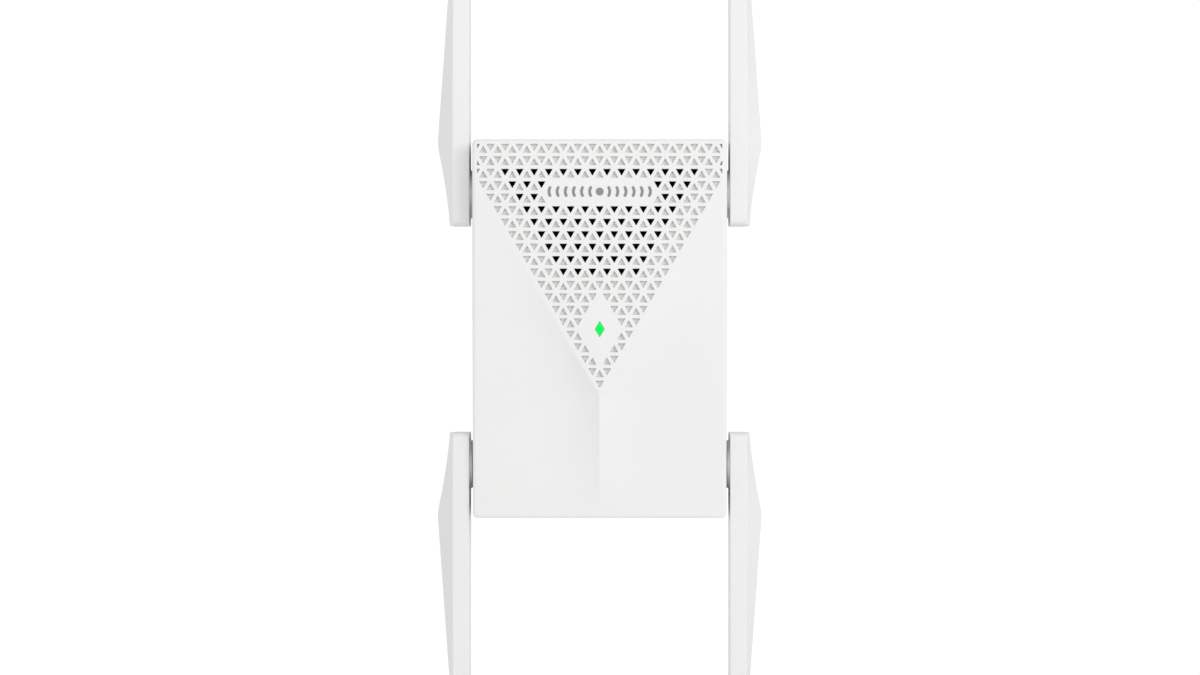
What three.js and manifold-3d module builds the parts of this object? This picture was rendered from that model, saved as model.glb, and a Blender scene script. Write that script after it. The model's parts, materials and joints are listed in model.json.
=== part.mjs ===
// A plug-in wifi range extender with four folding antennas, as a three.js scene graph.
// Millimetres, +Z up. The front faces -Y, and +X is on the right as the front is seen.
// The origin is the middle of the mains plug, on the face that rests against the wall outlet.

import * as THREE from "three";
import { mergeVertices } from "three/addons/utils/BufferGeometryUtils.js";
import Module from "manifold-3d";

const wasm = await Module();
wasm.setup();

// ---- Driving dimensions ----

const GAP = 0.3; // clearance between neighbouring pieces
const WALL = 2; // housing wall
const HALF_W = 40; // housing, middle to side
const HALF_H = 59.5; // housing, middle to top
const FRONT_Y = -33; // flat grille panel of the front cover
const SPLIT_Y = -15; // parting plane of the two housing shells
const CORNER_R = 1.5;
const REAR_CHAMFER = 2.5;

// The grille panel is a flat V. Below it the front falls away from the V's edges and from a ridge.
const V_CORNER_Z = 46.7; // where the V's edges meet the sides
const V_APEX_Z = -20.7;
const FRONT_DROP = 6.2; // how far the lower front lies behind the panel
const SWEEP_REACH = 26; // how far the hollow sweep beside an edge runs
const SWEEP_POWER = 4;

// Triangular vent lattice: row lines are counted down from the top, and line 15 crosses the lamp.
const CELL_W = 4.566;
const CELL_H = 3.909;
const VENT_ROWS = 20;
const LAMP_ROW = 15;
const VENT_SHARE = 0.5; // side of a vent hole over the side of its cell
const VENT_RIM_CELLS = 2; // columns of blind dimples between the vents and the V's edge
const LABEL_BAR_ROWS = [3, 4]; // plain bar across the grille
const LABEL_BAR_CELLS = 4;
const LAMP_HALF_W = 1.25;
const LAMP_HALF_H = 2.1;

// Hinges of the antennas, in the parting plane.
const HINGE_Z = 42.9;
const BOSS_R = 7.6;
const NECK_R = 4;
const FLANGE_R = 5.6;
const CABLE_BORE_R = 1.5;

// Antenna, measured from the housing's side (x) and from the hinge axis (y, z).
const BLADE_IN = 1.2; // flat inner face
const BLADE_CREASE = 6.5; // edge of the narrow front and rear faces
const BLADE_HALF_Y = 9;
const BLADE_WALL = 1.3;
const BLADE_END_Z = -10.1;
const BLADE_TIP_Z = 81;
// Height of the outer ridge: it swells from the hinge end to a peak, then tapers to the tip.
const RIDGE = { root: 7.75, peak: 11.75, tip: 6.9, peakZ: 15.6, power: 1.4 };

const BLADE_SPACING = 12.7; // mains plug, flat parallel blades
const BLADE_OUT = 17;
const BOARD = 1.6; // circuit board thickness
const MAIN_FRONT_Y = -22; // front face of the main board
const MAIN_REAR_Y = MAIN_FRONT_Y + BOARD;
const POWER_REAR_Y = -3;
const POWER_FRONT_Y = POWER_REAR_Y - BOARD;
const POST = { x: 32.5, z: 52.3, r: 3.2, tube: 4.35, hole: 1.7 }; // four screw posts
const COUNTERBORE = { r: 3.1, floor: -7 };
const JACK = { x: 14, halfX: 8, y0: MAIN_REAR_Y + GAP, y1: -6.6, z0: -59.3, z1: -43.5 };
const SOCKET = { halfX: 5.9, y0: -17.6, y1: -10.8, z1: -46 };
const SLOTS = { count: 11, pitch: 4.4, half: 0.8, y0: -12, y1: -5 };
const WPS = { x: -10, y: -10, half: 2.5, proud: 0.5 };
const RESET = { x: -24, y: -16.3, hole: 1.1 };

// ---- Helpers ----

function solid(geometry) {
  const bare = geometry.clone();
  bare.deleteAttribute("normal");
  bare.deleteAttribute("uv");
  const merged = mergeVertices(bare, 1e-4);
  const index = merged.index.array;
  const triVerts = [];
  for (let i = 0; i < index.length; i += 3) {
    const [a, b, c] = [index[i], index[i + 1], index[i + 2]];
    if (a !== b && b !== c && c !== a) triVerts.push(a, b, c);
  }
  const made = (order) =>
    new wasm.Manifold(
      new wasm.Mesh({
        numProp: 3,
        vertProperties: new Float32Array(merged.attributes.position.array),
        triVerts: new Uint32Array(order),
      }),
    );
  const first = made(triVerts);
  return first.volume() < 0 ? made(triVerts.toReversed()) : first;
}

function geometryOf(manifold) {
  const mesh = manifold.getMesh();
  const geometry = new THREE.BufferGeometry();
  geometry.setAttribute("position", new THREE.BufferAttribute(mesh.vertProperties, 3));
  geometry.setIndex(new THREE.BufferAttribute(mesh.triVerts, 1));
  return geometry;
}

const joined = (...solids) => solids.reduce((all, next) => all.add(next));
const without = (body, ...cuts) => cuts.reduce((left, cut) => left.subtract(cut), body);

function box(x0, x1, y0, y1, z0, z1) {
  const geometry = new THREE.BoxGeometry(x1 - x0, y1 - y0, z1 - z0);
  return solid(geometry.translate((x0 + x1) / 2, (y0 + y1) / 2, (z0 + z1) / 2));
}

// Where a shape's own x, y and depth point: along X the shape lies in (y, z), along Y in (x, z).
const V = (x, y, z) => new THREE.Vector3(x, y, z);
const BASES = {
  x: [V(0, 1, 0), V(0, 0, 1), V(1, 0, 0)],
  y: [V(1, 0, 0), V(0, 0, 1), V(0, 1, 0)],
  z: [V(1, 0, 0), V(0, 1, 0), V(0, 0, 1)],
};

function extruded(axis, shape, from, to, curveSegments = 2) {
  const options = { depth: to - from, bevelEnabled: false, curveSegments };
  const basis = new THREE.Matrix4().makeBasis(...BASES[axis]);
  const geometry = new THREE.ExtrudeGeometry(shape, options).translate(0, 0, from);
  return solid(geometry.applyMatrix4(basis));
}

function cylinder(axis, r, from, to, [u, v], sides = 20) {
  const shape = new THREE.Shape().absarc(u, v, r, 0, 2 * Math.PI);
  return extruded(axis, shape, from, to, sides / 2);
}

function polygon(points) {
  return new THREE.Shape(points.map(([u, v]) => new THREE.Vector2(u, v)));
}

function roundedRectangle(halfU, halfV, r, u = 0, v = 0) {
  const shape = new THREE.Shape();
  shape.absarc(u + halfU - r, v + halfV - r, r, 0, Math.PI / 2);
  shape.absarc(u - halfU + r, v + halfV - r, r, Math.PI / 2, Math.PI);
  shape.absarc(u - halfU + r, v - halfV + r, r, Math.PI, 1.5 * Math.PI);
  shape.absarc(u + halfU - r, v - halfV + r, r, 1.5 * Math.PI, 2 * Math.PI);
  return shape;
}

// A closed body through convex loops of [x, y, z] points with the same count.
function loft(loops) {
  const count = loops[0].length;
  const index = [];
  for (let k = 0; k + 1 < loops.length; k++)
    for (let i = 0; i < count; i++) {
      const [a, b] = [k * count + i, k * count + ((i + 1) % count)];
      index.push(a, b, b + count, a, b + count, a + count);
    }
  const last = (loops.length - 1) * count;
  for (let i = 1; i + 1 < count; i++)
    index.push(0, i + 1, i, last, last + i, last + i + 1);
  const geometry = new THREE.BufferGeometry();
  geometry.setAttribute("position", new THREE.Float32BufferAttribute(loops.flat(2), 3));
  return solid(geometry.setIndex(index));
}

// A body turned about the X axis from a closed profile of [x, radius] points.
function turned(profile, segments = 20) {
  const points = profile.map(([x, r]) => new THREE.Vector2(r, x));
  return solid(new THREE.LatheGeometry(points, segments).rotateZ(-Math.PI / 2));
}

// ---- Materials ----

function material(color, roughness, metalness = 0) {
  return new THREE.MeshStandardMaterial({ color, roughness, metalness });
}

const white = material(0xf1f1f0, 0.45);
const antennaWhite = material(0xefefee, 0.5);
const lampGreen = material(0x12f060, 0.25);
const clearGreen = material(0xd8f5df, 0.2);
const brass = material(0xd9c48a, 0.3, 1);
const steel = material(0xb9bcc0, 0.35, 1);
const gold = material(0xe2b85a, 0.3, 1);
const blackAluminium = material(0x17181a, 0.6, 0.4);
const boardGreen = material(0x1f6b3a, 0.5);
const black = material(0x1b1b1d, 0.5);
const copper = material(0xb87333, 0.4, 1);
const tapeYellow = material(0xd8b53a, 0.5);
const capacitorBlue = material(0x20324f, 0.4);
const padGrey = material(0x8f97a3, 0.8);
const film = material(0xe9e4d2, 0.35);
const cableGrey = material(0x3a3b3e, 0.5);
const redWire = material(0xa32020, 0.5);

const extender = new THREE.Group();

function add(name, body, look, parent = extender) {
  const mesh = new THREE.Mesh(geometryOf(body), look);
  mesh.name = name;
  parent.add(mesh);
}

// ---- Front surface ----

// Half-width of the flat V at height z: the whole width above its corners, nothing under its apex.
function vHalfWidth(z) {
  const share = (z - V_APEX_Z) / (V_CORNER_Z - V_APEX_Z);
  return HALF_W * Math.min(1, Math.max(0, share));
}

// How far the front lies behind the flat panel.
function frontDepth(x, z) {
  const edge = vHalfWidth(z);
  const beside = Math.abs(x) - edge;
  if (z >= V_CORNER_Z || beside < 0) return 0;
  const fallen = (V_CORNER_Z - z) / (V_CORNER_Z + HALF_H);
  const outer = FRONT_DROP * Math.sin((Math.PI / 2) * fallen) ** 2;
  const ridge = FRONT_DROP * Math.max(0, (V_APEX_Z - z) / (V_APEX_Z + HALF_H));
  const reach = Math.min(SWEEP_REACH, HALF_W - edge);
  const sweep = reach > 0 ? Math.max(0, 1 - beside / reach) ** SWEEP_POWER : 0;
  return outer - (outer - ridge) * sweep;
}

// The solid behind the front surface, moved back by inset, as far as the plane y = back.
function behindFront(inset, back) {
  const sides = [1, 0.72, 0.48, 0.3, 0.17, 0.08, 0]; // share of the way from the V's edge to the side
  const upper = 9;
  const lower = 5;
  const heights = [HALF_H];
  for (let i = 0; i < upper; i++)
    heights.push(V_CORNER_Z + ((V_APEX_Z - V_CORNER_Z) * i) / upper);
  for (let i = 0; i <= lower; i++)
    heights.push(V_APEX_Z + ((-HALF_H - V_APEX_Z) * i) / lower);

  const front = [];
  const rear = [];
  for (const z of heights) {
    const edge = vHalfWidth(z);
    const right = sides.map((share) => edge + share * (HALF_W - edge)).reverse();
    for (const x of [...right.map((v) => -v).reverse(), ...right]) {
      front.push(x, FRONT_Y + inset + frontDepth(x, z), z);
      rear.push(x, back, z);
    }
  }
  const columns = 2 * sides.length;
  const rows = heights.length;
  const behind = rows * columns; // index of the rear copy of vertex 0
  const index = [];
  const quad = (a, b, c, d) => index.push(a, b, c, a, c, d);
  for (let r = 0; r + 1 < rows; r++)
    for (let c = 0; c + 1 < columns; c++) {
      const a = r * columns + c;
      quad(a, a + columns, a + columns + 1, a + 1);
      quad(behind + a, behind + a + 1, behind + a + columns + 1, behind + a + columns);
    }
  const top = [...Array(columns).keys()];
  const right = [...Array(rows).keys()].slice(1).map((r) => r * columns + columns - 1);
  const bottom = top.map((c) => (rows - 1) * columns + c).reverse().slice(1);
  const left = [...Array(rows).keys()].slice(1, -1).map((r) => r * columns).reverse();
  const rim = [...top, ...right, ...bottom, ...left];
  rim.forEach((a, i) => {
    const b = rim[(i + 1) % rim.length];
    quad(a, b, behind + b, behind + a);
  });
  const geometry = new THREE.BufferGeometry();
  geometry.setAttribute("position", new THREE.Float32BufferAttribute([...front, ...rear], 3));
  return solid(geometry.setIndex(index));
}

// The vents are the downward triangles inside the rim of dimples. Rows are counted from the top.
function ventHoles() {
  const holes = [];
  for (let row = 2; row <= 10; row++) {
    const reach = (VENT_ROWS - 1 - row) / 2 - VENT_RIM_CELLS;
    for (let column = -reach; column <= reach; column++) {
      if (LABEL_BAR_ROWS.includes(row) && Math.abs(column) < LABEL_BAR_CELLS) continue;
      const middle = [column * CELL_W, (LAMP_ROW - row - 1 / 3) * CELL_H];
      const corners = [
        [-CELL_W / 2, CELL_H / 3],
        [0, (-2 * CELL_H) / 3],
        [CELL_W / 2, CELL_H / 3],
      ];
      const points = corners.map(([u, v]) => [
        middle[0] + u * VENT_SHARE,
        middle[1] + v * VENT_SHARE,
      ]);
      holes.push(extruded("y", polygon(points), FRONT_Y - 1, FRONT_Y + WALL + 1));
    }
  }
  return wasm.Manifold.union(holes);
}

const diamond = (halfW, halfH) =>
  polygon([
    [halfW, 0],
    [0, halfH],
    [-halfW, 0],
    [0, -halfH],
  ]);

// ---- Housing ----

const CORNERS = [
  [-1, 1],
  [1, 1],
  [-1, -1],
  [1, -1],
];

const posts = (r, from, to) =>
  CORNERS.map(([sx, sz]) => cylinder("y", r, from, to, [sx * POST.x, sz * POST.z], 12));

// Round openings in the side walls, half in each shell, where the hinge necks turn.
const hingeHoles = CORNERS.map(([sx, sz]) => {
  const ends = [sx * (HALF_W - 6), sx * (HALF_W + 1)].sort((a, b) => a - b);
  return cylinder("x", NECK_R + GAP, ...ends, [SPLIT_Y, sz * HINGE_Z]);
});

const jackHole = box(
  JACK.x - JACK.halfX - GAP,
  JACK.x + JACK.halfX + GAP,
  JACK.y0 - GAP,
  JACK.y1 + GAP,
  -HALF_H - 1,
  -HALF_H + WALL + 4,
);

const cavity = (y0, y1) =>
  box(-HALF_W + WALL, HALF_W - WALL, y0, y1, -HALF_H + WALL, HALF_H - WALL);

function frontCover() {
  const back = SPLIT_Y - GAP / 2;
  const outline = roundedRectangle(HALF_W, HALF_H, CORNER_R);
  const outer = behindFront(0, back).intersect(extruded("y", outline, FRONT_Y - 1, back));
  const hollow = behindFront(WALL, SPLIT_Y + 1).intersect(cavity(FRONT_Y, SPLIT_Y + 1));
  const standing = joined(...posts(POST.r, FRONT_Y + WALL / 2, back)).intersect(outer);
  const pilots = posts(POST.hole, -24, SPLIT_Y + 1);
  const lampHole = extruded(
    "y",
    diamond(LAMP_HALF_W + 2 * GAP, LAMP_HALF_H + 3 * GAP),
    FRONT_Y - 1,
    FRONT_Y + WALL + 1,
  );
  const shell = outer.subtract(hollow).add(standing);
  return without(shell, ...pilots, ...hingeHoles, jackHole, resetHole(), lampHole, ventHoles());
}

// A lip inside the parting line, broken at the hinges and the socket.
function lip() {
  const within = (inset) => roundedRectangle(HALF_W - inset, HALF_H - inset, 1);
  const tongue = extruded("y", within(WALL + GAP), SPLIT_Y - 2, SPLIT_Y + 1.5);
  const root = extruded("y", within(WALL - 0.5), SPLIT_Y + GAP / 2, SPLIT_Y + 1.5);
  const breaks = CORNERS.map(([sx, sz]) =>
    box(sx * HALF_W - 8, sx * HALF_W + 8, -30, 0, sz * HINGE_Z - 8, sz * HINGE_Z + 8),
  );
  const along = [SPLIT_Y - 3, SPLIT_Y + 2];
  const bottomBreak = box(-HALF_W + 10, HALF_W - 10, ...along, -HALF_H, -HALF_H + 6);
  const inner = extruded("y", within(WALL + 1.5), ...along);
  return without(tongue.add(root), inner, ...breaks, bottomBreak);
}

const resetHole = () =>
  cylinder("z", RESET.hole, -HALF_H - 1, -HALF_H + WALL + 1, [RESET.x, RESET.y], 12);

// Slots in the side and top walls let the warm air out.
function sideSlots() {
  const { count, pitch, half, y0, y1 } = SLOTS;
  const slots = [];
  for (let i = 0; i < count; i++) {
    const at = (i - (count - 1) / 2) * pitch;
    const across = HALF_W + 1;
    slots.push(box(-across, across, y0, y1, at - half, at + half));
    slots.push(box(at - half, at + half, y0, y1, HALF_H - WALL - 1, HALF_H + 1));
  }
  return slots;
}

const PLUG = { halfX: 15, halfZ: 11, r: 5, depth: 9, flange: 2 };

function rearCover() {
  const front = SPLIT_Y + GAP / 2;
  const loop = (inset, y) =>
    roundedRectangle(HALF_W - inset, HALF_H - inset, CORNER_R)
      .getPoints(2)
      .slice(0, -1)
      .map((p) => [p.x, y, p.y]);
  const outer = loft([loop(0, front), loop(0, -REAR_CHAMFER), loop(REAR_CHAMFER, 0)]);
  const tubes = joined(...posts(POST.tube, front + GAP, -WALL / 2));
  const plugHole = roundedRectangle(PLUG.halfX + GAP, PLUG.halfZ + GAP, PLUG.r + GAP);
  const { x, y, half } = WPS;
  const buttonHole = roundedRectangle(half + GAP, half + GAP, 1 + GAP, x, y);
  const shell = outer.subtract(cavity(SPLIT_Y - 1, -WALL)).add(lip()).add(tubes);
  return without(
    shell,
    ...posts(POST.hole, SPLIT_Y - 1, 1),
    ...posts(COUNTERBORE.r, COUNTERBORE.floor, 1),
    ...hingeHoles,
    jackHole,
    resetHole(),
    extruded("z", buttonHole, -HALF_H - 1, -HALF_H + WALL + 1),
    extruded("y", plugHole, -WALL - 1, 1),
    ...sideSlots(),
  );
}

function screw([sx, sz]) {
  const seat = COUNTERBORE.floor + GAP;
  const profile = [
    [-22, 0],
    [-21, 1.4],
    [seat, 1.4],
    [seat, 2.7],
    [seat + 1.2, 2.7],
    [seat + 2, 1.6],
    [seat + 2, 0],
  ].map(([y, r]) => new THREE.Vector2(r, y));
  return solid(new THREE.LatheGeometry(profile, 12).translate(sx * POST.x, 0, sz * POST.z));
}

function addHousing() {
  add("front_cover", frontCover(), white);
  add("rear_cover", rearCover(), white);
  CORNERS.forEach((corner, i) => add(`case_screw_${i + 1}`, screw(corner), steel));
  const lens = extruded("y", diamond(LAMP_HALF_W, LAMP_HALF_H), FRONT_Y, MAIN_FRONT_Y - 1.6);
  add("led_lens", lens, lampGreen);
}

// ---- Mains plug ----

function plugInsert() {
  const body = extruded("y", roundedRectangle(PLUG.halfX, PLUG.halfZ, PLUG.r), -PLUG.depth, 0);
  const { flange } = PLUG;
  const rim = roundedRectangle(PLUG.halfX + flange, PLUG.halfZ + flange, PLUG.r + flange);
  const collar = extruded("y", rim, -WALL - GAP - flange, -WALL - GAP);
  const slots = [-1, 1].map((side) => {
    const { thick, halfZ } = bladeSize(side);
    const [near, far] = [side * BLADE_SPACING / 2 - thick, side * BLADE_SPACING / 2 + thick];
    return box(near - GAP, far + GAP, -PLUG.depth - 1, 1, -halfZ - GAP, halfZ + GAP);
  });
  return without(body.add(collar), ...slots);
}

// The neutral blade is the wider one. thick is half of the blade's thickness.
const bladeSize = (side) => ({ thick: 0.75, halfZ: side < 0 ? 3.95 : 3.18 });

function plugBlade(side) {
  const { thick, halfZ } = bladeSize(side);
  const shape = polygon([
    [-11, -halfZ],
    [BLADE_OUT - 1.5, -halfZ],
    [BLADE_OUT, -halfZ + 1.5],
    [BLADE_OUT, halfZ - 1.5],
    [BLADE_OUT - 1.5, halfZ],
    [-11, halfZ],
  ]);
  shape.holes.push(new THREE.Path().absarc(11.7, 0, 1.6, 0, 2 * Math.PI, true));
  const middle = (side * BLADE_SPACING) / 2;
  return extruded("x", shape, middle - thick, middle + thick, 6);
}

// A round lead or cable along a smooth path through points.
function tube(points, radius, steps, sides = 6) {
  const path = new THREE.CatmullRomCurve3(points.map((p) => V(...p)));
  const ring = [...Array(sides).keys()].map((i) => {
    const turn = (2 * Math.PI * i) / sides;
    return [radius * Math.cos(turn), radius * Math.sin(turn)];
  });
  const options = { steps, extrudePath: path, bevelEnabled: false };
  return solid(new THREE.ExtrudeGeometry(polygon(ring), options));
}

function mainsLead(side) {
  const x = (side * BLADE_SPACING) / 2;
  const points = [
    [x, -11.5, 0],
    [x, -13, 0.6],
    [x, -15, 4],
    [x, -15, 10],
    [x, -13, 16],
    [x, -9, 18.4],
    [x, POWER_FRONT_Y - GAP, 18.5],
  ];
  return tube(points, 0.8, 16);
}

function addPlug() {
  add("plug_insert", plugInsert(), white);
  add("plug_blade_neutral", plugBlade(-1), brass);
  add("plug_blade_live", plugBlade(1), brass);
  add("mains_lead_neutral", mainsLead(-1), cableGrey);
  add("mains_lead_live", mainsLead(1), redWire);
}

// ---- Boards and what they carry ----

// A block on a board face: toward -1 stands it in front of the face, +1 behind it.
function onBoard(face, toward, x, z, halfX, halfZ, tall, lift = GAP) {
  const ends = [face + toward * lift, face + toward * (lift + tall)].sort((a, b) => a - b);
  return box(x - halfX, x + halfX, ...ends, z - halfZ, z + halfZ);
}

function canOnBoard(face, toward, x, z, r, tall) {
  const ends = [face + toward * GAP, face + toward * (GAP + tall)].sort((a, b) => a - b);
  return cylinder("y", r, ...ends, [x, z]);
}

function mainBoard() {
  const plate = box(-33, 33, MAIN_FRONT_Y, MAIN_REAR_Y, -54, 54);
  return without(plate, ...posts(POST.r + 2 * GAP, MAIN_FRONT_Y - 1, MAIN_REAR_Y + 1));
}

const HEAT_SINK = { z: 33, halfX: 28, halfZ: 19, base: 1.5, fin: 1.4, pitch: 4, top: -29.5 };

const PROCESSOR_Z = 26;

function heatSink() {
  const { z, halfX, halfZ, base, fin, pitch, top } = HEAT_SINK;
  const rear = MAIN_FRONT_Y - 2.8;
  const parts = [box(-halfX, halfX, rear - base, rear, z - halfZ, z + halfZ)];
  const across = (halfX - fin / 2) / pitch;
  for (let i = -Math.floor(across); i <= across; i++) {
    const x = i * pitch;
    parts.push(box(x - fin / 2, x + fin / 2, top, rear - base / 2, z - halfZ, z + halfZ));
  }
  return joined(...parts);
}

// A thin pressed can over the radio parts, open towards the board.
function shieldCan(x) {
  const skin = 0.3;
  const outer = onBoard(MAIN_FRONT_Y, -1, x, -10, 11, 9, 2.4);
  return outer.subtract(onBoard(MAIN_FRONT_Y, -1, x, -10, 11 - skin, 9 - skin, 2.4 - skin, 0));
}

function addMainBoard() {
  add("main_board", mainBoard(), boardGreen);
  const z = PROCESSOR_Z;
  add("processor", onBoard(MAIN_FRONT_Y, -1, 0, z, 7, 7, 1.2), black);
  add("thermal_pad", onBoard(MAIN_FRONT_Y, -1, 0, z, 7, 7, 0.7, 1.8), padGrey);
  add("heat_sink", heatSink(), blackAluminium);
  add("rf_shield_left", shieldCan(-18), steel);
  add("rf_shield_right", shieldCan(18), steel);
  add("status_led", onBoard(MAIN_FRONT_Y, -1, 0, 0, 0.8, 1.6, 0.9), clearGreen);
  add("memory_chip", onBoard(MAIN_FRONT_Y, -1, -14, -30, 5, 4, 1), black);
}

function transformer() {
  const core = onBoard(POWER_FRONT_Y, -1, 12, 42, 9, 6, 13, 0.6);
  const winding = onBoard(POWER_FRONT_Y, -1, 12, 42, 7, 8.5, 11, 1.6);
  return core.add(winding);
}

function addPowerBoard() {
  add("power_board", box(-27, 27, POWER_FRONT_Y, POWER_REAR_Y, 15, 56), boardGreen);
  add("transformer", transformer(), tapeYellow);
  add("mains_capacitor", canOnBoard(POWER_FRONT_Y, -1, -13, 44, 5, 13), capacitorBlue);
  add("output_capacitor", canOnBoard(POWER_FRONT_Y, -1, 20, 26, 4, 11), capacitorBlue);
  add("rectifier", onBoard(POWER_FRONT_Y, -1, -15, 31, 3.2, 2.6, 2.8), black);
  add("fuse", cylinder("x", 1.8, -24, -14, [POWER_FRONT_Y - GAP - 1.8, 22], 12), film);
  const sheetY = MAIN_REAR_Y + 1.2;
  add("insulating_sheet", box(-27, 27, sheetY, sheetY + 0.3, 22.5, 55), film);
  const header = box(19, 26, MAIN_REAR_Y + GAP, POWER_FRONT_Y - GAP, 17, 19.5);
  add("power_header", header, black);
}

// ---- Ethernet socket and buttons ----

function ethernetJack() {
  const { x, halfX, y0, y1, z0, z1 } = JACK;
  const body = box(x - halfX, x + halfX, y0, y1, z0, z1);
  const { halfX: open, y0: low, y1: high, z1: end } = SOCKET;
  const mouth = box(x - open, x + open, low, high, z0 - 1, end);
  const latch = box(x - 3, x + 3, high - 1, high + 2.2, z0 - 1, end);
  return without(body, mouth, latch);
}

// Eight bent spring contacts on one carrier.
function ethernetContacts() {
  const floor = SOCKET.y0 + GAP;
  const finger = polygon([
    [floor, SOCKET.z1 - GAP],
    [floor, -56.6],
    [floor + 0.4, -56.6],
    [floor + 1.4, -52.5],
    [floor + 1.1, -50],
    [floor + 0.6, SOCKET.z1 - GAP],
  ]);
  const pitch = 1.02;
  const fingers = [];
  for (let i = 0; i < 8; i++) {
    const x = JACK.x + (i - 3.5) * pitch;
    fingers.push(extruded("x", finger, x - 0.2, x + 0.2));
  }
  const half = 4.5 * pitch;
  const bar = box(JACK.x - half, JACK.x + half, floor, floor + 0.5, -47.6, SOCKET.z1 - GAP);
  return joined(bar, ...fingers);
}

// A side-acting push switch on the rear of the main board, with a hole for its plunger.
const SWITCH = { halfX: 3, tall: 6.2, z0: -53.3, z1: -49.8, plungerR: 1.1, y: -16.3 };

function pushSwitch(x) {
  const { halfX, tall, z0, z1, plungerR, y } = SWITCH;
  const rear = MAIN_REAR_Y + GAP;
  const body = box(x - halfX, x + halfX, rear, rear + tall, z0, z1);
  return body.subtract(cylinder("z", plungerR + GAP, z0 - 1, z1 - 1, [x, y], 12));
}

const plunger = (x, tip) =>
  cylinder("z", SWITCH.plungerR, tip, SWITCH.z0 + 1, [x, SWITCH.y], 10);

// A square cap through the bottom wall, a collar that keeps it in, and an arm to the switch.
function wpsButton() {
  const { x, y, half, proud } = WPS;
  const inside = -HALF_H + WALL + GAP;
  const cap = extruded("z", roundedRectangle(half, half, 1, x, y), -HALF_H - proud, inside + 0.7);
  const collar = box(x - half - 1, x + half + 1, y - half - 1, y + half + 1, inside, inside + 0.7);
  const arm = box(x - 1.4, x + 1.4, SWITCH.y - 1.2, y, inside, inside + 1.4);
  return joined(cap, collar, arm);
}

function addPortsAndButtons() {
  add("ethernet_jack", ethernetJack(), black);
  add("ethernet_contacts", ethernetContacts(), gold);
  add("lan_transformer", onBoard(MAIN_REAR_Y, 1, JACK.x, -36, 6.4, 3.6, 5.5), black);
  add("wps_switch", pushSwitch(WPS.x), black);
  add("wps_plunger", plunger(WPS.x, -55.5), steel);
  add("wps_button", wpsButton(), white);
  add("reset_switch", pushSwitch(RESET.x), black);
  add("reset_plunger", plunger(RESET.x, -56.6), steel);
}

// ---- Antennas ----

function ridgeHeight(z) {
  const { root, peak, tip, peakZ, power } = RIDGE;
  if (z > peakZ) return peak + ((tip - peak) * (z - peakZ)) / (BLADE_TIP_Z - peakZ);
  return root + (peak - root) * ((z - BLADE_END_Z) / (peakZ - BLADE_END_Z)) ** power;
}

// One loop across the antenna at height z: flat inside, two narrow faces and a ridge outside.
const bladeLoop = (z, ridge, inset) => {
  const halfY = BLADE_HALF_Y - inset;
  const inner = inset ? BLADE_IN - 1 : BLADE_IN; // a cavity opens through the inner face
  const crease = BLADE_CREASE - inset;
  const top = ridge - 1.2 * inset;
  return [
    [inner, -halfY, z],
    [crease, -halfY, z],
    [top, 0, z],
    [crease, halfY, z],
    [inner, halfY, z],
  ];
};

function bladeBody(inset) {
  const stations = [BLADE_END_Z + inset, -2, 7, RIDGE.peakZ, BLADE_TIP_Z - inset];
  const loops = stations.map((z) => bladeLoop(z, ridgeHeight(z), inset));
  const middle = (BLADE_TIP_Z + BLADE_END_Z) / 2;
  const half = (BLADE_TIP_Z - BLADE_END_Z) / 2;
  const outline = roundedRectangle(BLADE_HALF_Y - inset, half - inset, 3 - inset, 0, middle);
  return loft(loops).intersect(extruded("x", outline, -1, 20));
}

const COVER_PLATE = 1.4;

function antennaCover() {
  const inset = BLADE_WALL + GAP;
  const middle = (BLADE_TIP_Z + BLADE_END_Z) / 2;
  const half = (BLADE_TIP_Z - BLADE_END_Z) / 2 - inset;
  const outline = roundedRectangle(BLADE_HALF_Y - inset, half, 3 - inset, 0, middle);
  const plate = extruded("x", outline, BLADE_IN, BLADE_IN + COVER_PLATE);
  const boss = cylinder("x", BOSS_R, GAP, BLADE_IN + 0.2, [0, 0], 28);
  const hole = cylinder("x", NECK_R + GAP, -1, BLADE_IN + COVER_PLATE + 1, [0, 0]);
  return plate.add(boss).subtract(hole);
}

const HINGE_HEAD = BLADE_IN + COVER_PLATE + GAP;
const WASHER_X = -WALL - GAP;
const WASHER = 0.6;

// The hollow hinge: a head inside the antenna, a neck through the wall, a flange behind the wall.
function antennaHinge() {
  const flange = WASHER_X - WASHER - GAP;
  return turned([
    [HINGE_HEAD + 0.8, CABLE_BORE_R],
    [HINGE_HEAD + 0.8, FLANGE_R],
    [HINGE_HEAD, FLANGE_R],
    [HINGE_HEAD, NECK_R],
    [flange, NECK_R],
    [flange, FLANGE_R],
    [flange - 1.8, FLANGE_R],
    [flange - 1.8, CABLE_BORE_R],
    [HINGE_HEAD + 0.8, CABLE_BORE_R],
  ]);
}

function hingeWasher() {
  const [inner, outer] = [NECK_R + GAP, FLANGE_R + 0.6];
  return turned([
    [WASHER_X, inner],
    [WASHER_X, outer],
    [WASHER_X - WASHER, outer],
    [WASHER_X - WASHER, inner],
    [WASHER_X, inner],
  ]);
}

const ELEMENT_X = HINGE_HEAD + 0.8 + 0.4;

// The feed cable clips onto the main board, runs up its edge and goes in through the hinge.
function antennaCable() {
  const boardY = MAIN_REAR_Y - SPLIT_Y + GAP;
  const points = [
    [-9.5, boardY + 0.6, -12.5],
    [-9.5, boardY + 1.6, -12],
    [-9.5, -1.6, -9],
    [-9.4, -0.4, -4.5],
    [-8.6, -0.05, -1.4],
    [-7, 0, 0],
    [-4, 0, 0],
    [0, 0, 0],
    [ELEMENT_X - GAP, 0, 0],
  ];
  const connector = cylinder("y", 1.4, boardY, boardY + 1.3, [-9.5, -12.5], 10);
  return tube(points, 0.6, 18).add(connector);
}

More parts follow.
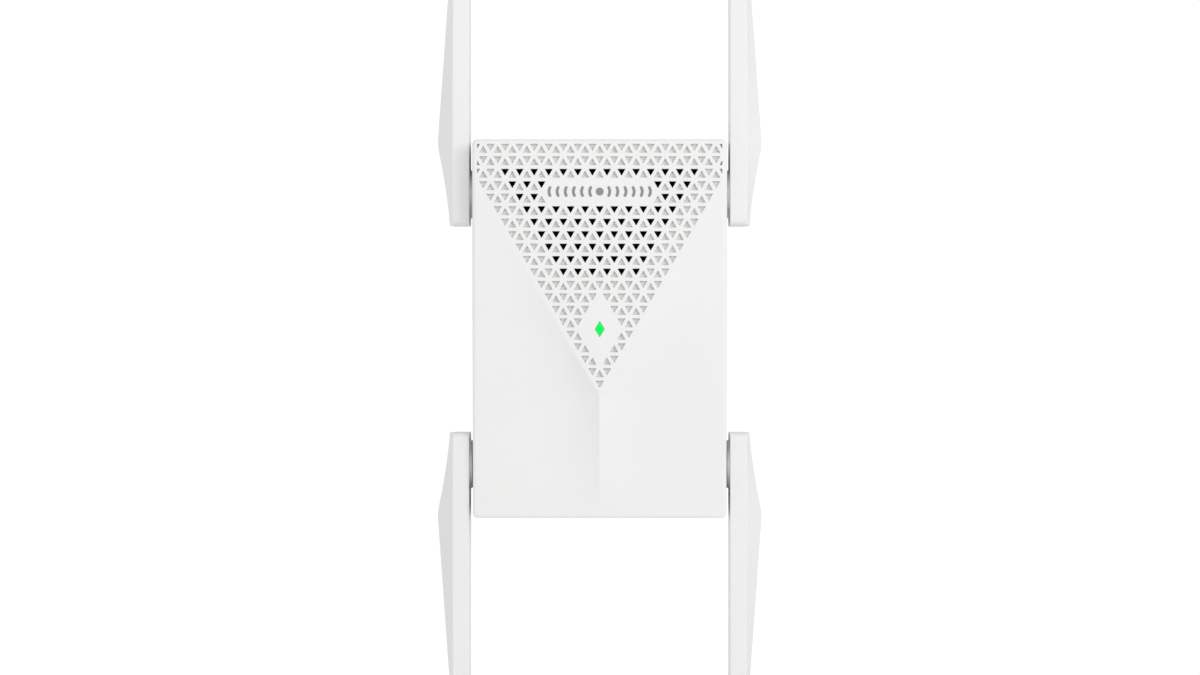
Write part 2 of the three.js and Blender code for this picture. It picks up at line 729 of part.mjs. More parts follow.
function addAntenna(name, sx, sz) {
  const place = new THREE.Group();
  place.position.set(sx * HALF_W, SPLIT_Y, sz * HINGE_Z);
  place.scale.set(sx, 1, sz);
  extender.add(place);
  add(`${name}_shell`, bladeBody(0).subtract(bladeBody(BLADE_WALL)), antennaWhite, place);
  add(`${name}_cover`, antennaCover(), antennaWhite, place);
  add(`${name}_hinge`, antennaHinge(), white, place);
  add(`${name}_washer`, hingeWasher(), steel, place);
  add(`${name}_element`, box(ELEMENT_X, ELEMENT_X + 0.6, -3, 3, -2.5, 74), copper, place);
  add(`${name}_cable`, antennaCable(), cableGrey, place);
}

addHousing();
addPlug();
addMainBoard();
addPowerBoard();
addPortsAndButtons();
addAntenna("antenna_upper_left", -1, 1);
addAntenna("antenna_upper_right", 1, 1);
addAntenna("antenna_lower_left", -1, -1);
addAntenna("antenna_lower_right", 1, -1);

export default extender;
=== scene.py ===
import json
import math

import bmesh
import bpy
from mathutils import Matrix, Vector
from mathutils.geometry import delaunay_2d_cdt


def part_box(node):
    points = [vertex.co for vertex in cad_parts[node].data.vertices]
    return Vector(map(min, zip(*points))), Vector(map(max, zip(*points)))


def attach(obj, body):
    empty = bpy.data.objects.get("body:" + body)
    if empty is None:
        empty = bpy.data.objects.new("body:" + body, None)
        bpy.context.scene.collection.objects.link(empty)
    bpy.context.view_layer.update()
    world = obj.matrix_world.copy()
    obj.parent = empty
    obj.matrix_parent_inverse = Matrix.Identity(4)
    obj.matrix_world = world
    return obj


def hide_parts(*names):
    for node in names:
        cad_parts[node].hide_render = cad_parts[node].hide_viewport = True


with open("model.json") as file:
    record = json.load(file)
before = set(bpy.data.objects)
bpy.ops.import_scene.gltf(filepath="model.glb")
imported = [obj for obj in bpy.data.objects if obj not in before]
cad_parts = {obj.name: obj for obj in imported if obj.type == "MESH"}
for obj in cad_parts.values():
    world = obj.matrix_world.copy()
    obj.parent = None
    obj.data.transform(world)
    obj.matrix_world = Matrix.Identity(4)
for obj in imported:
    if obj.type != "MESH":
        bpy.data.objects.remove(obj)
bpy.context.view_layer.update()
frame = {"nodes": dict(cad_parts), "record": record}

# A plug-in wifi range extender with four folding antennas. Shapes are worked out in millimetres in
# the frame's own axes, and become metres when they are made into objects. Front is -Y, up is +Z.

MM = 0.001


def box_mm(node):
    """Lowest and highest corner of a CAD node at rest, in millimetres."""
    return tuple([v / MM for v in corner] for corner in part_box(node))


def mid(low, high, axis=0):
    """The middle of a box along one axis."""
    return (low[axis] + high[axis]) / 2


# ---- Driving dimensions, in millimetres ----

FRONT_LOW, FRONT_HIGH = box_mm("front_cover")
HALF_W, HALF_H = FRONT_HIGH[0], FRONT_HIGH[2]
FRONT_Y = FRONT_LOW[1]
GAP = 0.3
WALL = 2.0
SPLIT_Y = FRONT_HIGH[1] + GAP / 2
CORNER_R = 1.5
SIDE_FILLET = 1.2
END_FILLET = 0.8
REAR_CHAMFER = 2.5
OVERCUT = 1  # how far a cut runs past the surface that it opens
AXIS_R = 0.06  # the radius that stands for a point on a turned piece's axis

V_CORNER_Z = 46.7
V_APEX_Z = -20.7
FRONT_DROP = 6.2
SWEEP_REACH = 26.0
SWEEP_POWER = 4
CREASE_R = 0.3

CELL_W, CELL_H = 4.566, 3.909
GRILLE_ROWS, LAMP_ROW, BAR_ROW = 20, 15, 4
GRILLE_HALF_CELLS, LAMP_CLEAR_CELLS = 8.6, 1.5
# Half the width of the plain bar, in cells, for each (row, tip) that it crosses.
BAR_HALF_CELLS = {(3, -1): 4, (3, 1): 4.5, (4, -1): 4.5, (4, 1): 4}
VENT_FIRST_ROW, VENT_LAST_ROW, VENT_SIDE_CELLS = 2, 10, 2
GRILLE_HALF_W = HALF_W - SIDE_FILLET - 0.3
RIM_SHARE = 0.6
# Sides of a dimple or vent, as shares of its cell's side, at depths below the panel.
DIMPLE_LEVELS = ((0.575, 0.05), (0.55, 0.3), (0.49, 1.45))
VENT_LEVELS = ((0.555, 0.1), (0.535, WALL))

# Half width and half height of the lens, and of its hole at the rim and below it.
LENS_HALF_W, LENS_HALF_H = 1.48, 2.48
LAMP_RIM, LAMP_BORE, LAMP_RIM_DEPTH = (1.66, 2.76), (1.53, 2.56), 0.12

PLUG_HALF_X, PLUG_HALF_Z, PLUG_R = 15, 11, 5
PLUG_BLADES = ("plug_blade_neutral", "plug_blade_live")
BUTTON_HALF, BUTTON_HOLE_HALF, BUTTON_FROM_FRONT_END = 2.5, 2.8, 3.5

# An antenna, measured from the housing's side (x) and from its hinge axis (y, z).
HINGE_LOW, HINGE_HIGH = box_mm("antenna_upper_right_hinge")
BLADE_LOW, BLADE_HIGH = box_mm("antenna_upper_right_shell")
HINGE_Z = (HINGE_LOW[2] + HINGE_HIGH[2]) / 2
NECK_HOLE_R = 4.3
BOSS_R = 7.6
BLADE_IN, BLADE_CREASE, BLADE_HALF_Y = 1.2, 6.5, (BLADE_HIGH[1] - BLADE_LOW[1]) / 2
BLADE_WALL = 1.3
BLADE_CORNER_R = 2.0
BLADE_END_Z, BLADE_TIP_Z = BLADE_LOW[2] - HINGE_Z, BLADE_HIGH[2] - HINGE_Z
RIDGE_ROOT, RIDGE_PEAK, RIDGE_TIP = 7.75, BLADE_HIGH[0] - HALF_W, 6.9
RIDGE_PEAK_Z, RIDGE_POWER = 15.6, 1.4

WALL_COLOUR = (0.865, 0.865, 0.86)


# ---- Mesh helpers ----


class Skin:
    """Collects the faces of closed surfaces. Points that coincide become one vertex."""

    def __init__(self):
        self.points, self.faces, self.index = [], [], {}

    def vertex(self, point):
        key = tuple(round(c, 4) for c in point)
        if key not in self.index:
            self.index[key] = len(self.points)
            self.points.append(tuple(c * MM for c in point))
        return self.index[key]

    def face(self, points):
        corners = [self.vertex(p) for p in points]
        corners = [v for i, v in enumerate(corners) if v != corners[i - 1]]
        if len(set(corners)) == len(corners) >= 3:
            self.faces.append(corners)

    def band(self, first, second):
        """Four-sided faces between two closed loops of as many points."""
        for i in range(len(first)):
            self.face([first[i - 1], first[i], second[i], second[i - 1]])

    def bands(self, loops):
        """Bands from each closed loop to the next."""
        for first, second in zip(loops, loops[1:]):
            self.band(first, second)

    def fill(self, loops, place, inner=()):
        """Triangles inside the first flat loop, which is convex, and outside the others."""
        points, edges, owner = [], [], []
        for number, loop in enumerate(loops):
            first = len(points)
            points += [Vector(p) for p in loop]
            owner += [number] * len(loop)
            edges += [(first + i, first + (i + 1) % len(loop)) for i in range(len(loop))]
        points += [Vector(p) for p in inner]
        owner += [0] * len(inner)
        flat, _, faces, origin, _, _ = delaunay_2d_cdt(points, edges, [], 0, 1e-5)
        for face in faces:
            owners = {owner[origin[v][0]] for v in face}
            if len(owners) > 1 or 0 in owners:
                self.face([place(*flat[v]) for v in face])

    def to_object(self, name):
        mesh = bpy.data.meshes.new(name)
        mesh.from_pydata(self.points, [], self.faces)
        bm = bmesh.new()
        bm.from_mesh(mesh)
        bmesh.ops.recalc_face_normals(bm, faces=bm.faces)
        bm.to_mesh(mesh)
        bm.free()
        obj = bpy.data.objects.new(name, mesh)
        bpy.context.scene.collection.objects.link(obj)
        return obj


def offset(loop, distance):
    """A closed flat loop moved outwards by a distance, or inwards if it is negative."""
    closed = list(zip(loop, loop[1:] + loop[:1]))
    side = 1 if sum(a[0] * b[1] - b[0] * a[1] for a, b in closed) > 0 else -1
    moved = []
    for i, point in enumerate(loop):
        here = Vector(point)
        before = (here - Vector(loop[i - 1])).normalized()
        after = (Vector(loop[(i + 1) % len(loop)]) - here).normalized()
        normals = [Vector((d.y, -d.x)) * side for d in (before, after)]
        middle = (normals[0] + normals[1]).normalized()
        moved.append(tuple(here + middle * distance / max(0.4, middle.dot(normals[0]))))
    return moved


def softened(corners, radius, steps=4):
    """A flat polygon with each corner eased over the given radius, or one radius per corner."""
    radii = radius if isinstance(radius, (list, tuple)) else [radius] * len(corners)
    loop = []
    for i, corner in enumerate(corners):
        here = Vector(corner)
        back, ahead = Vector(corners[i - 1]) - here, Vector(corners[(i + 1) % len(corners)]) - here
        reach = radii[i] / math.tan(back.angle(ahead) / 2)
        reach = min(reach, 0.45 * back.length, 0.45 * ahead.length)
        start, end = here + back.normalized() * reach, here + ahead.normalized() * reach
        for step in range(steps + 1):
            u = step / steps
            loop.append(tuple(start * (1 - u) ** 2 + here * 2 * u * (1 - u) + end * u * u))
    return loop


def circle(radius, centre=(0, 0), count=48):
    turns = [2 * math.pi * i / count for i in range(count)]
    return [(centre[0] + radius * math.cos(t), centre[1] + radius * math.sin(t)) for t in turns]


def rectangle(half_u, half_v, radius, centre=(0, 0), steps=6):
    """A rounded rectangle with true arcs."""
    loop = []
    for turn, (su, sv) in enumerate(((1, 1), (-1, 1), (-1, -1), (1, -1))):
        for step in range(steps + 1):
            angle = math.pi / 2 * (turn + step / steps)
            u = centre[0] + su * (half_u - radius) + radius * math.cos(angle)
            v = centre[1] + sv * (half_v - radius) + radius * math.sin(angle)
            loop.append((u, v))
    return loop


# Three ways to place a flat point (u, v) at the level w along an axis.


def along_x(u, v, w):
    return (w, u, v)


def along_y(u, v, w):
    return (u, w, v)


def along_z(u, v, w):
    return (u, v, w)


def slab(skin, place, outline, start, end, edge=0.2, holes=(), steps=3):
    """A plate between two levels with rounded edges, with holes whose rims are rounded too."""
    turns = [math.pi / 2 * i / steps for i in range(steps + 1)] if edge else [0]
    levels = [(edge * (1 - math.sin(a)), start + edge * (1 - math.cos(a))) for a in turns]
    levels += [(inset, start + end - level) for inset, level in reversed(levels)]

    def ring(loop, grow, inset, level):
        moved = offset(loop, grow * inset) if inset > 1e-6 else loop
        return moved, [place(u, v, level) for u, v in moved]

    for loop, grow in [(outline, -1)] + [(hole, 1) for hole in holes]:
        skin.bands([ring(loop, grow, *level)[1] for level in levels])
    for inset, level in (levels[0], levels[-1]):
        faces = [ring(outline, -1, inset, level)[0]]
        faces += [ring(hole, 1, inset, level)[0] for hole in holes]
        skin.fill(faces, lambda u, v, w=level: place(u, v, w))


def turned(skin, place, profile, count=48, centre=(0, 0)):
    """A closed ring or a solid disc from (radius, level) points round an axis."""
    rings = []
    for radius, level in profile:
        points = circle(max(radius, 1e-3), centre, count)
        rings.append([place(u, v, level) for u, v in points])
    skin.bands(rings)
    if profile[0] == profile[-1]:
        return
    for ring in (rings[0], rings[-1]):
        skin.face(ring)


def bake(obj):
    """Turns the object's modifiers into its mesh."""
    bpy.context.view_layer.update()
    graph = bpy.context.evaluated_depsgraph_get()
    mesh = bpy.data.meshes.new_from_object(obj.evaluated_get(graph), depsgraph=graph)
    obj.modifiers.clear()
    obj.data = mesh


def combine(obj, skin, operation="DIFFERENCE"):
    """Cuts a skin's solids out of the object, or joins them to it."""
    other = skin.to_object(obj.name + "_tool")
    modifier = obj.modifiers.new("combine", "BOOLEAN")
    modifier.operation, modifier.solver, modifier.object = operation, "EXACT", other
    bake(obj)
    bpy.data.objects.remove(other)


def smooth(obj, degrees=32):
    """Smooth shading that leaves real edges sharp and flat faces flat."""
    obj.data.shade_smooth()
    obj.data.set_sharp_from_angle(angle=math.radians(degrees))
    weighted = obj.modifiers.new("weighted normals", "WEIGHTED_NORMAL")
    weighted.keep_sharp, weighted.weight = True, 60


def dress(obj, body, slot, *nodes, look=None):
    """Finishes a piece: shading, material, the body it rides on and the CAD nodes it stands for."""
    smooth(obj)
    obj.data.materials.clear()
    obj.data.materials.append(MATERIALS[look or slot])
    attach(obj, body)
    if nodes:
        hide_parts(*nodes)


# ---- Materials ----


def preset(node, values):
    """Sets a shader node's inputs, given by name or number."""
    for socket, value in values.items():
        node.inputs[socket].default_value = value


class Look:
    """A Principled material and the nodes that vary it, in the object's own metres."""

    def __init__(self, name, colour, roughness, **settings):
        self.material = bpy.data.materials.new(name)
        self.material.use_nodes = True
        self.tree = self.material.node_tree
        self.shader = self.tree.nodes["Principled BSDF"]
        preset(self.shader, {"Base Color": (*colour, 1), "Roughness": roughness})
        preset(self.shader, {name.replace("_", " ").title(): v for name, v in settings.items()})
        self.space = self.node("ShaderNodeTexCoord").outputs["Object"]
        self.height = None

    def node(self, kind, **values):
        made = self.tree.nodes.new(kind)
        for key, value in values.items():
            setattr(made, key, value)
        return made

    def link(self, output, target):
        self.tree.links.new(output, target)

    def noise(self, size_mm, detail=3, stretch=(1, 1, 1)):
        """Noise with features of about this size."""
        mapping = self.node("ShaderNodeMapping")
        preset(mapping, {"Scale": stretch})
        self.link(self.space, mapping.inputs["Vector"])
        noise = self.node("ShaderNodeTexNoise")
        preset(noise, {"Scale": 1 / (size_mm * MM), "Detail": detail})
        self.link(mapping.outputs["Vector"], noise.inputs["Vector"])
        return noise.outputs["Fac"]

    def cells(self, size_mm):
        """Distance from the middles of round cells of about this size."""
        cells = self.node("ShaderNodeTexVoronoi")
        preset(cells, {"Scale": 1 / (size_mm * MM)})
        self.link(self.space, cells.inputs["Vector"])
        return cells.outputs["Distance"]

    def ramp(self, value, stops):
        """A colour ramp: stops are (position, colour)."""
        ramp = self.node("ShaderNodeValToRGB")
        elements = ramp.color_ramp.elements
        while len(elements) < len(stops):
            elements.new(0.5)
        for element, (position, colour) in zip(elements, stops):
            element.position, element.color = position, (*colour, 1)
        self.link(value, ramp.inputs["Fac"])
        return ramp.outputs["Color"]

    def tint(self, value, stops):
        self.link(self.ramp(value, stops), self.shader.inputs["Base Color"])
        return self

    def gloss(self, value, low, high):
        """Roughness runs from low to high as the value goes from 0.3 to 0.7."""
        mapped = self.node("ShaderNodeMapRange")
        preset(mapped, {"From Min": 0.3, "From Max": 0.7, "To Min": low, "To Max": high})
        self.link(value, mapped.inputs["Value"])
        self.link(mapped.outputs["Result"], self.shader.inputs["Roughness"])
        return self

    def relief(self, value, height_mm, strength=0.5):
        """Adds a bump of about this height on top of any earlier one."""
        bump = self.node("ShaderNodeBump")
        preset(bump, {"Distance": height_mm * MM, "Strength": strength})
        self.link(value, bump.inputs["Height"])
        if self.height is not None:
            self.link(self.height, bump.inputs["Normal"])
        self.height = bump.outputs["Normal"]
        self.link(self.height, self.shader.inputs["Normal"])
        return self


def shade(colour, factor):
    return tuple(c * factor for c in colour)


def moulded(name, colour, roughness, grain_mm=0.35, relief_mm=0.012):
    """Spark-eroded moulded plastic: fine even grain, slight drift of tone and gloss."""
    look = Look(name, colour, roughness)
    tone = look.noise(30, 2)
    look.tint(tone, [(0.35, shade(colour, 0.994)), (0.65, shade(colour, 1.005))])
    grain = look.noise(grain_mm, 4)
    look.gloss(grain, roughness - 0.05, roughness + 0.07)
    look.relief(grain, relief_mm, 0.35)
    return look


def metal(name, colour, roughness, brushed):
    """Plated or rolled metal: fine scratches along one direction and faint tarnish."""
    look = Look(name, colour, roughness, metallic=1.0)
    tarnish = look.noise(3.5, 4)
    look.tint(tarnish, [(0.3, shade(colour, 0.84)), (0.7, colour)])
    scratches = look.noise(0.12, 3, brushed)
    look.gloss(scratches, roughness - 0.06, roughness + 0.12)
    look.relief(scratches, 0.004, 0.3)
    return look


def circuit_board():
    """Green solder mask over raised tracks, with tinned pads."""
    mask, track, pad = (0.012, 0.11, 0.035), (0.02, 0.2, 0.06), (0.62, 0.6, 0.52)
    look = Look("solder_mask", mask, 0.35)
    mapping = look.node("ShaderNodeMapping")
    preset(mapping, {"Rotation": (math.radians(90), 0, 0)})
    look.link(look.space, mapping.inputs["Vector"])
    bricks = look.node("ShaderNodeTexBrick")
    bricks.offset, bricks.squash = 0.37, 1.6
    preset(bricks, {
        "Scale": 1 / (9 * MM), "Mortar Size": 0.045, "Mortar Smooth": 0.05, "Brick Width": 0.9,
        "Row Height": 0.3, "Color1": (*mask, 1), "Color2": (*shade(mask, 0.8), 1), "Mortar": (*track, 1),
    })
    look.link(mapping.outputs["Vector"], bricks.inputs["Vector"])
    dots = look.cells(2.6)
    pads = look.node("ShaderNodeMath", operation="LESS_THAN")
    preset(pads, {1: 0.16})
    look.link(dots, pads.inputs[0])
    mix = look.node("ShaderNodeMix", data_type="RGBA")
    mix.inputs["B"].default_value = (*pad, 1)
    look.link(pads.outputs["Value"], mix.inputs["Factor"])
    look.link(bricks.outputs["Color"], mix.inputs["A"])
    look.link(mix.outputs["Result"], look.shader.inputs["Base Color"])
    look.relief(bricks.outputs["Fac"], 0.03)
    look.relief(look.noise(0.5), 0.004)
    return look


def glowing(name, colour, rim_colour):
    """Green diffuser lit by the diode behind it: full colour in the middle, paler at the rim."""
    look = moulded(name, shade(colour, 0.1), 0.3, 0.5, 0.004)
    preset(look.shader, {"Specular IOR Level": 0.1, "Emission Strength": 1.0})
    away = look.node("ShaderNodeVectorMath", operation="ABSOLUTE")
    look.link(look.space, away.inputs[0])
    share = look.node("ShaderNodeVectorMath", operation="DOT_PRODUCT")
    preset(share, {1: (1 / (LENS_HALF_W * MM), 0, 1 / (LENS_HALF_H * MM))})
    look.link(away.outputs["Vector"], share.inputs[0])
    glow = look.ramp(share.outputs["Value"], [(0.5, colour), (1.0, rim_colour)])
    look.link(glow, look.shader.inputs["Emission Color"])
    return look


def winding_tape():
    look = Look("winding_tape", (0.62, 0.4, 0.035), 0.42)
    turns = look.node("ShaderNodeTexWave", bands_direction="Y")
    preset(turns, {"Scale": 1 / (6 * MM), "Distortion": 0.6})
    look.link(look.space, turns.inputs["Vector"])
    look.tint(turns.outputs["Fac"], [(0.0, (0.5, 0.3, 0.02)), (1.0, (0.7, 0.47, 0.05))])
    return look.relief(turns.outputs["Fac"], 0.05).gloss(look.noise(0.6), 0.34, 0.5)


def shrink_sleeve():
    look = Look("capacitor_sleeve", (0.012, 0.03, 0.09), 0.3)
    look.tint(look.noise(4), [(0.3, (0.01, 0.022, 0.07)), (0.7, (0.02, 0.045, 0.12))])
    return look.gloss(look.noise(1.2), 0.22, 0.4).relief(look.noise(2.5), 0.03)


def soft_pad():
    look = Look("thermal_pad", (0.27, 0.3, 0.35), 0.85)
    look.tint(look.noise(0.25), [(0.3, (0.2, 0.23, 0.28)), (0.7, (0.36, 0.4, 0.46))])
    return look.relief(look.cells(0.4), 0.03)


def clear_film():
    look = Look("insulating_film", (0.78, 0.74, 0.6), 0.28, transmission_weight=0.3)
    look.tint(look.noise(9), [(0.3, (0.72, 0.67, 0.52)), (0.7, (0.84, 0.8, 0.68))])
    return look.gloss(look.noise(0.8), 0.22, 0.4).relief(look.noise(5, 2), 0.04)


def jacket(name, colour):
    look = Look(name, colour, 0.5)
    look.tint(look.noise(1.5), [(0.3, shade(colour, 0.75)), (0.7, shade(colour, 1.2))])
    return look.gloss(look.noise(0.4), 0.42, 0.6).relief(look.noise(0.3), 0.01)


def label_stock():
    look = Look("label_stock", (0.6, 0.61, 0.63), 0.42)
    look.tint(look.noise(0.25, 5), [(0.3, (0.585, 0.595, 0.615)), (0.7, (0.615, 0.625, 0.645))])
    return look.gloss(look.noise(0.9), 0.38, 0.48).relief(look.noise(0.2), 0.002)


# Stretches of the scratches on metal: across the object, up and down it, and along its depth.
ACROSS, UPRIGHT, ENDWISE = (1, 1, 9), (9, 9, 1), (1, 9, 1)

MATERIALS = {
    name: look.material
    for name, look in {
        "white_plastic": moulded("white_plastic", WALL_COLOUR, 0.5),
        "antenna_plastic": moulded("antenna_plastic", shade(WALL_COLOUR, 0.995), 0.52, 0.3),
        "lamp_plastic": glowing("lamp_plastic", (0.0, 1.0, 0.09), (0.03, 0.62, 0.14)),
        "clear_resin": glowing("clear_resin", (0.2, 0.9, 0.35), (0.1, 0.5, 0.2)),
        "ink": moulded("grey_ink", (0.27, 0.27, 0.27), 0.6, 0.15, 0.004),
        "brass": metal("plug_brass", (0.8, 0.72, 0.52), 0.24, ENDWISE),
        "steel": metal("zinc_steel", (0.6, 0.61, 0.63), 0.34, ACROSS),
        "gold_contact": metal("contact_gold", (0.9, 0.66, 0.28), 0.2, UPRIGHT),
        # The heat sink is a real part, but its black is painted shade: seen through the open vents it
        # stands in for the dark inside the housing.
        "black_aluminium": metal("vent_shade_black", (0.012, 0.012, 0.013), 0.6, UPRIGHT),
        "circuit_board": circuit_board(),
        "black_plastic": moulded("black_plastic", (0.012, 0.012, 0.013), 0.5, 0.3),
        "copper": metal("rolled_copper", (0.82, 0.42, 0.24), 0.3, UPRIGHT),
        "winding_tape": winding_tape(),
        "capacitor_sleeve": shrink_sleeve(),
        "thermal_pad": soft_pad(),
        "clear_film": clear_film(),
        "cable_jacket": jacket("cable_jacket", (0.03, 0.031, 0.034)),
        "red_wire": jacket("red_wire", (0.4, 0.012, 0.012)),
        "label": label_stock(),
    }.items()
}


# ---- Front surface ----


def v_half_width(z):
    share = (z - V_APEX_Z) / (V_CORNER_Z - V_APEX_Z)
    return HALF_W * min(1.0, max(0.0, share))


def front_depth(x, z):
    """How far the front lies behind its flat V-shaped panel."""
    edge = v_half_width(z)
    beside = abs(x) - edge
    if z >= V_CORNER_Z or beside < 0:
        return 0.0
    fallen = (V_CORNER_Z - z) / (V_CORNER_Z + HALF_H)
    outer = FRONT_DROP * math.sin(math.pi / 2 * fallen) ** 2
    ridge = FRONT_DROP * max(0.0, (V_APEX_Z - z) / (V_APEX_Z + HALF_H))
    reach = min(SWEEP_REACH, HALF_W - edge)
    sweep = max(0.0, 1 - beside / reach) ** SWEEP_POWER if reach > 0 else 0.0
    return outer - (outer - ridge) * sweep


def soft_depth(x, z):
    """front_depth with its creases rounded, as its mean over a small disc."""
    total, count = front_depth(x, z), 1
    for radius in (0.5 * CREASE_R, CREASE_R):
        for i in range(8):
            angle = math.pi / 4 * i
            total += front_depth(x + radius * math.cos(angle), z + radius * math.sin(angle))
            count += 1
    return total / count


SIDE_STEPS, CORNER_STEPS = (72, 120), 6


def outline(inset_x=0.0, inset_z=None):
    """The housing seen from the front, as a loop of (x, z) from the upper right corner round."""
    half_w = HALF_W - inset_x
    half_h = HALF_H - (inset_x if inset_z is None else inset_z)
    corners = ((1, 1), (-1, 1), (-1, -1), (1, -1))
    arcs = []
    for turn, (sx, sz) in enumerate(corners):
        angles = [math.pi / 2 * (turn + i / CORNER_STEPS) for i in range(CORNER_STEPS + 1)]
        centre = (sx * (half_w - CORNER_R), sz * (half_h - CORNER_R))
        arcs.append([
            (centre[0] + CORNER_R * math.cos(a), centre[1] + CORNER_R * math.sin(a)) for a in angles
        ])
    loop = []
    for turn, arc in enumerate(arcs):
        loop += arc
        end, start = arcs[(turn + 1) % 4][0], arc[-1]
        steps = SIDE_STEPS[turn % 2]
        for i in range(1, steps):
            u = i / steps
            loop.append((start[0] + (end[0] - start[0]) * u, start[1] + (end[1] - start[1]) * u))
    return loop


def edge_radii():
    """The front fillet's radius at each point of the outline."""
    radii = []
    for turn in range(4):
        for i in range(CORNER_STEPS + 1):
            across = math.cos(math.pi / 2 * (turn + i / CORNER_STEPS)) ** 2
            radii.append(SIDE_FILLET * across + END_FILLET * (1 - across))
        steps = SIDE_STEPS[turn % 2]
        radii += [END_FILLET if turn % 2 == 0 else SIDE_FILLET] * (steps - 1)
    return radii


def cell_centres():
    """Each cell of the grille: (x, z, tip, through), with tip -1 pointing down and 1 up."""
    cells = []
    for row in range(GRILLE_ROWS):
        for tip, spare, height in ((-1, 0, 1 / 3), (1, 0.5, 2 / 3)):
            reach = (GRILLE_ROWS - 1 - row) / 2 - spare
            steps = int(2 * reach) + 1 if reach >= 0 else 0
            for step in range(steps):
                column = step - reach
                if abs(column) > GRILLE_HALF_CELLS or abs(column) < BAR_HALF_CELLS.get((row, tip), 0):
                    continue
                if abs(column) + abs(row + height - LAMP_ROW) / 2 < LAMP_CLEAR_CELLS:
                    continue
                vent_row = tip < 0 and VENT_FIRST_ROW <= row <= VENT_LAST_ROW
                through = vent_row and abs(column) <= reach - VENT_SIDE_CELLS
                z = (LAMP_ROW - row - height) * CELL_H
                cells.append((column * CELL_W, z, tip, through))
    return cells


def cell_loop(cell, share):
    """The outline of a vent or dimple: a triangle with eased corners, cut off at the panel's side."""
    x, z, tip, _ = cell
    corners = [
        (x - share * CELL_W / 2, z - tip * share * CELL_H / 3),
        (x + share * CELL_W / 2, z - tip * share * CELL_H / 3),
        (x, z + tip * share * 2 * CELL_H / 3),
    ]
    limit = GRILLE_HALF_W - (RIM_SHARE - share)
    if max(abs(c[0]) for c in corners) > limit:
        corners = clipped(corners, math.copysign(limit, x))
    return softened(corners, 0.1, 2)


def clipped(corners, wall_x):
    """The part of a polygon nearer the middle than x = wall_x."""
    side = math.copysign(1, wall_x)
    kept = []
    for i, here in enumerate(corners):
        before = corners[i - 1]
        if (here[0] - wall_x) * side < 0:
            if (before[0] - wall_x) * side > 0:
                kept.append(crossing(before, here, wall_x))
            kept.append(here)
        elif (before[0] - wall_x) * side < 0:
            kept.append(crossing(before, here, wall_x))
    return kept


def crossing(a, b, x):
    u = (x - a[0]) / (b[0] - a[0])
    return (x, a[1] + u * (b[1] - a[1]))


def diamond(half_w, half_h):
    return softened([(half_w, 0), (0, half_h), (-half_w, 0), (0, -half_h)], 0.15, 3)


# Offsets and spacings of the points beside the creases, beside the ridge and on the slopes.
CREASE_OFFSETS = (-1.2, -0.6, -0.35, -0.15, 0.05, 0.25, 0.45, 0.7, 1.1, 1.7)
CREASE_DRAWN_R, CREASE_SPACING = 0.6, 0.8
SPINE_OFFSETS = (0, 0.14, 0.3, 0.5, 0.8, 1.4)
SPINE_START, SPINE_SPACING = 0.9, 1.0
SLOPE_START, SLOPE_SPACING = 2.6, 1.5
EDGE_MARGIN, CLOSEST = 0.25, 0.12


def surface_points():
    """Points that carry the front's curvature: along its creases, its ridge and over its slopes."""
    slope = Vector((HALF_W, V_CORNER_Z - V_APEX_Z)).normalized()
    normal = Vector((slope.y, -slope.x))
    length = Vector((HALF_W, V_CORNER_Z - V_APEX_Z)).length
    limit_x, limit_z = HALF_W - SIDE_FILLET - EDGE_MARGIN, -HALF_H + END_FILLET + EDGE_MARGIN
    inner = []
    for offset_by in CREASE_OFFSETS:
        beside = normal * (offset_by * CREASE_R / CREASE_DRAWN_R)
        for i in range(int(length / CREASE_SPACING)):
            along = CREASE_SPACING / 2 + CREASE_SPACING * i
            point = Vector((0, V_APEX_Z)) + slope * along + beside
            if CLOSEST < point.x < limit_x:
                inner += [(point.x, point.y), (-point.x, point.y)]
    z = V_APEX_Z + SPINE_START
    while z > limit_z:
        inner += [(s * x, z) for x in SPINE_OFFSETS for s in (1, -1)]
        z -= SPINE_SPACING
    z = V_CORNER_Z - 1
    while z > limit_z:
        x = v_half_width(z) + SLOPE_START
        while x < limit_x:
            inner += [(x, z), (-x, z)]
            x += SLOPE_SPACING
        z -= SLOPE_SPACING
    return spaced(inner, CLOSEST)


def spaced(points, distance):
    """The points without those that crowd an earlier one."""
    kept, seen = [], set()
    for x, z in points:
        key = (round(x / distance), round(z / distance))
        around = {(key[0] + i, key[1] + j) for i in (-1, 0, 1) for j in (-1, 0, 1)}
        if not around & seen:
            seen.add(key)
            kept.append((x, z))
    return kept


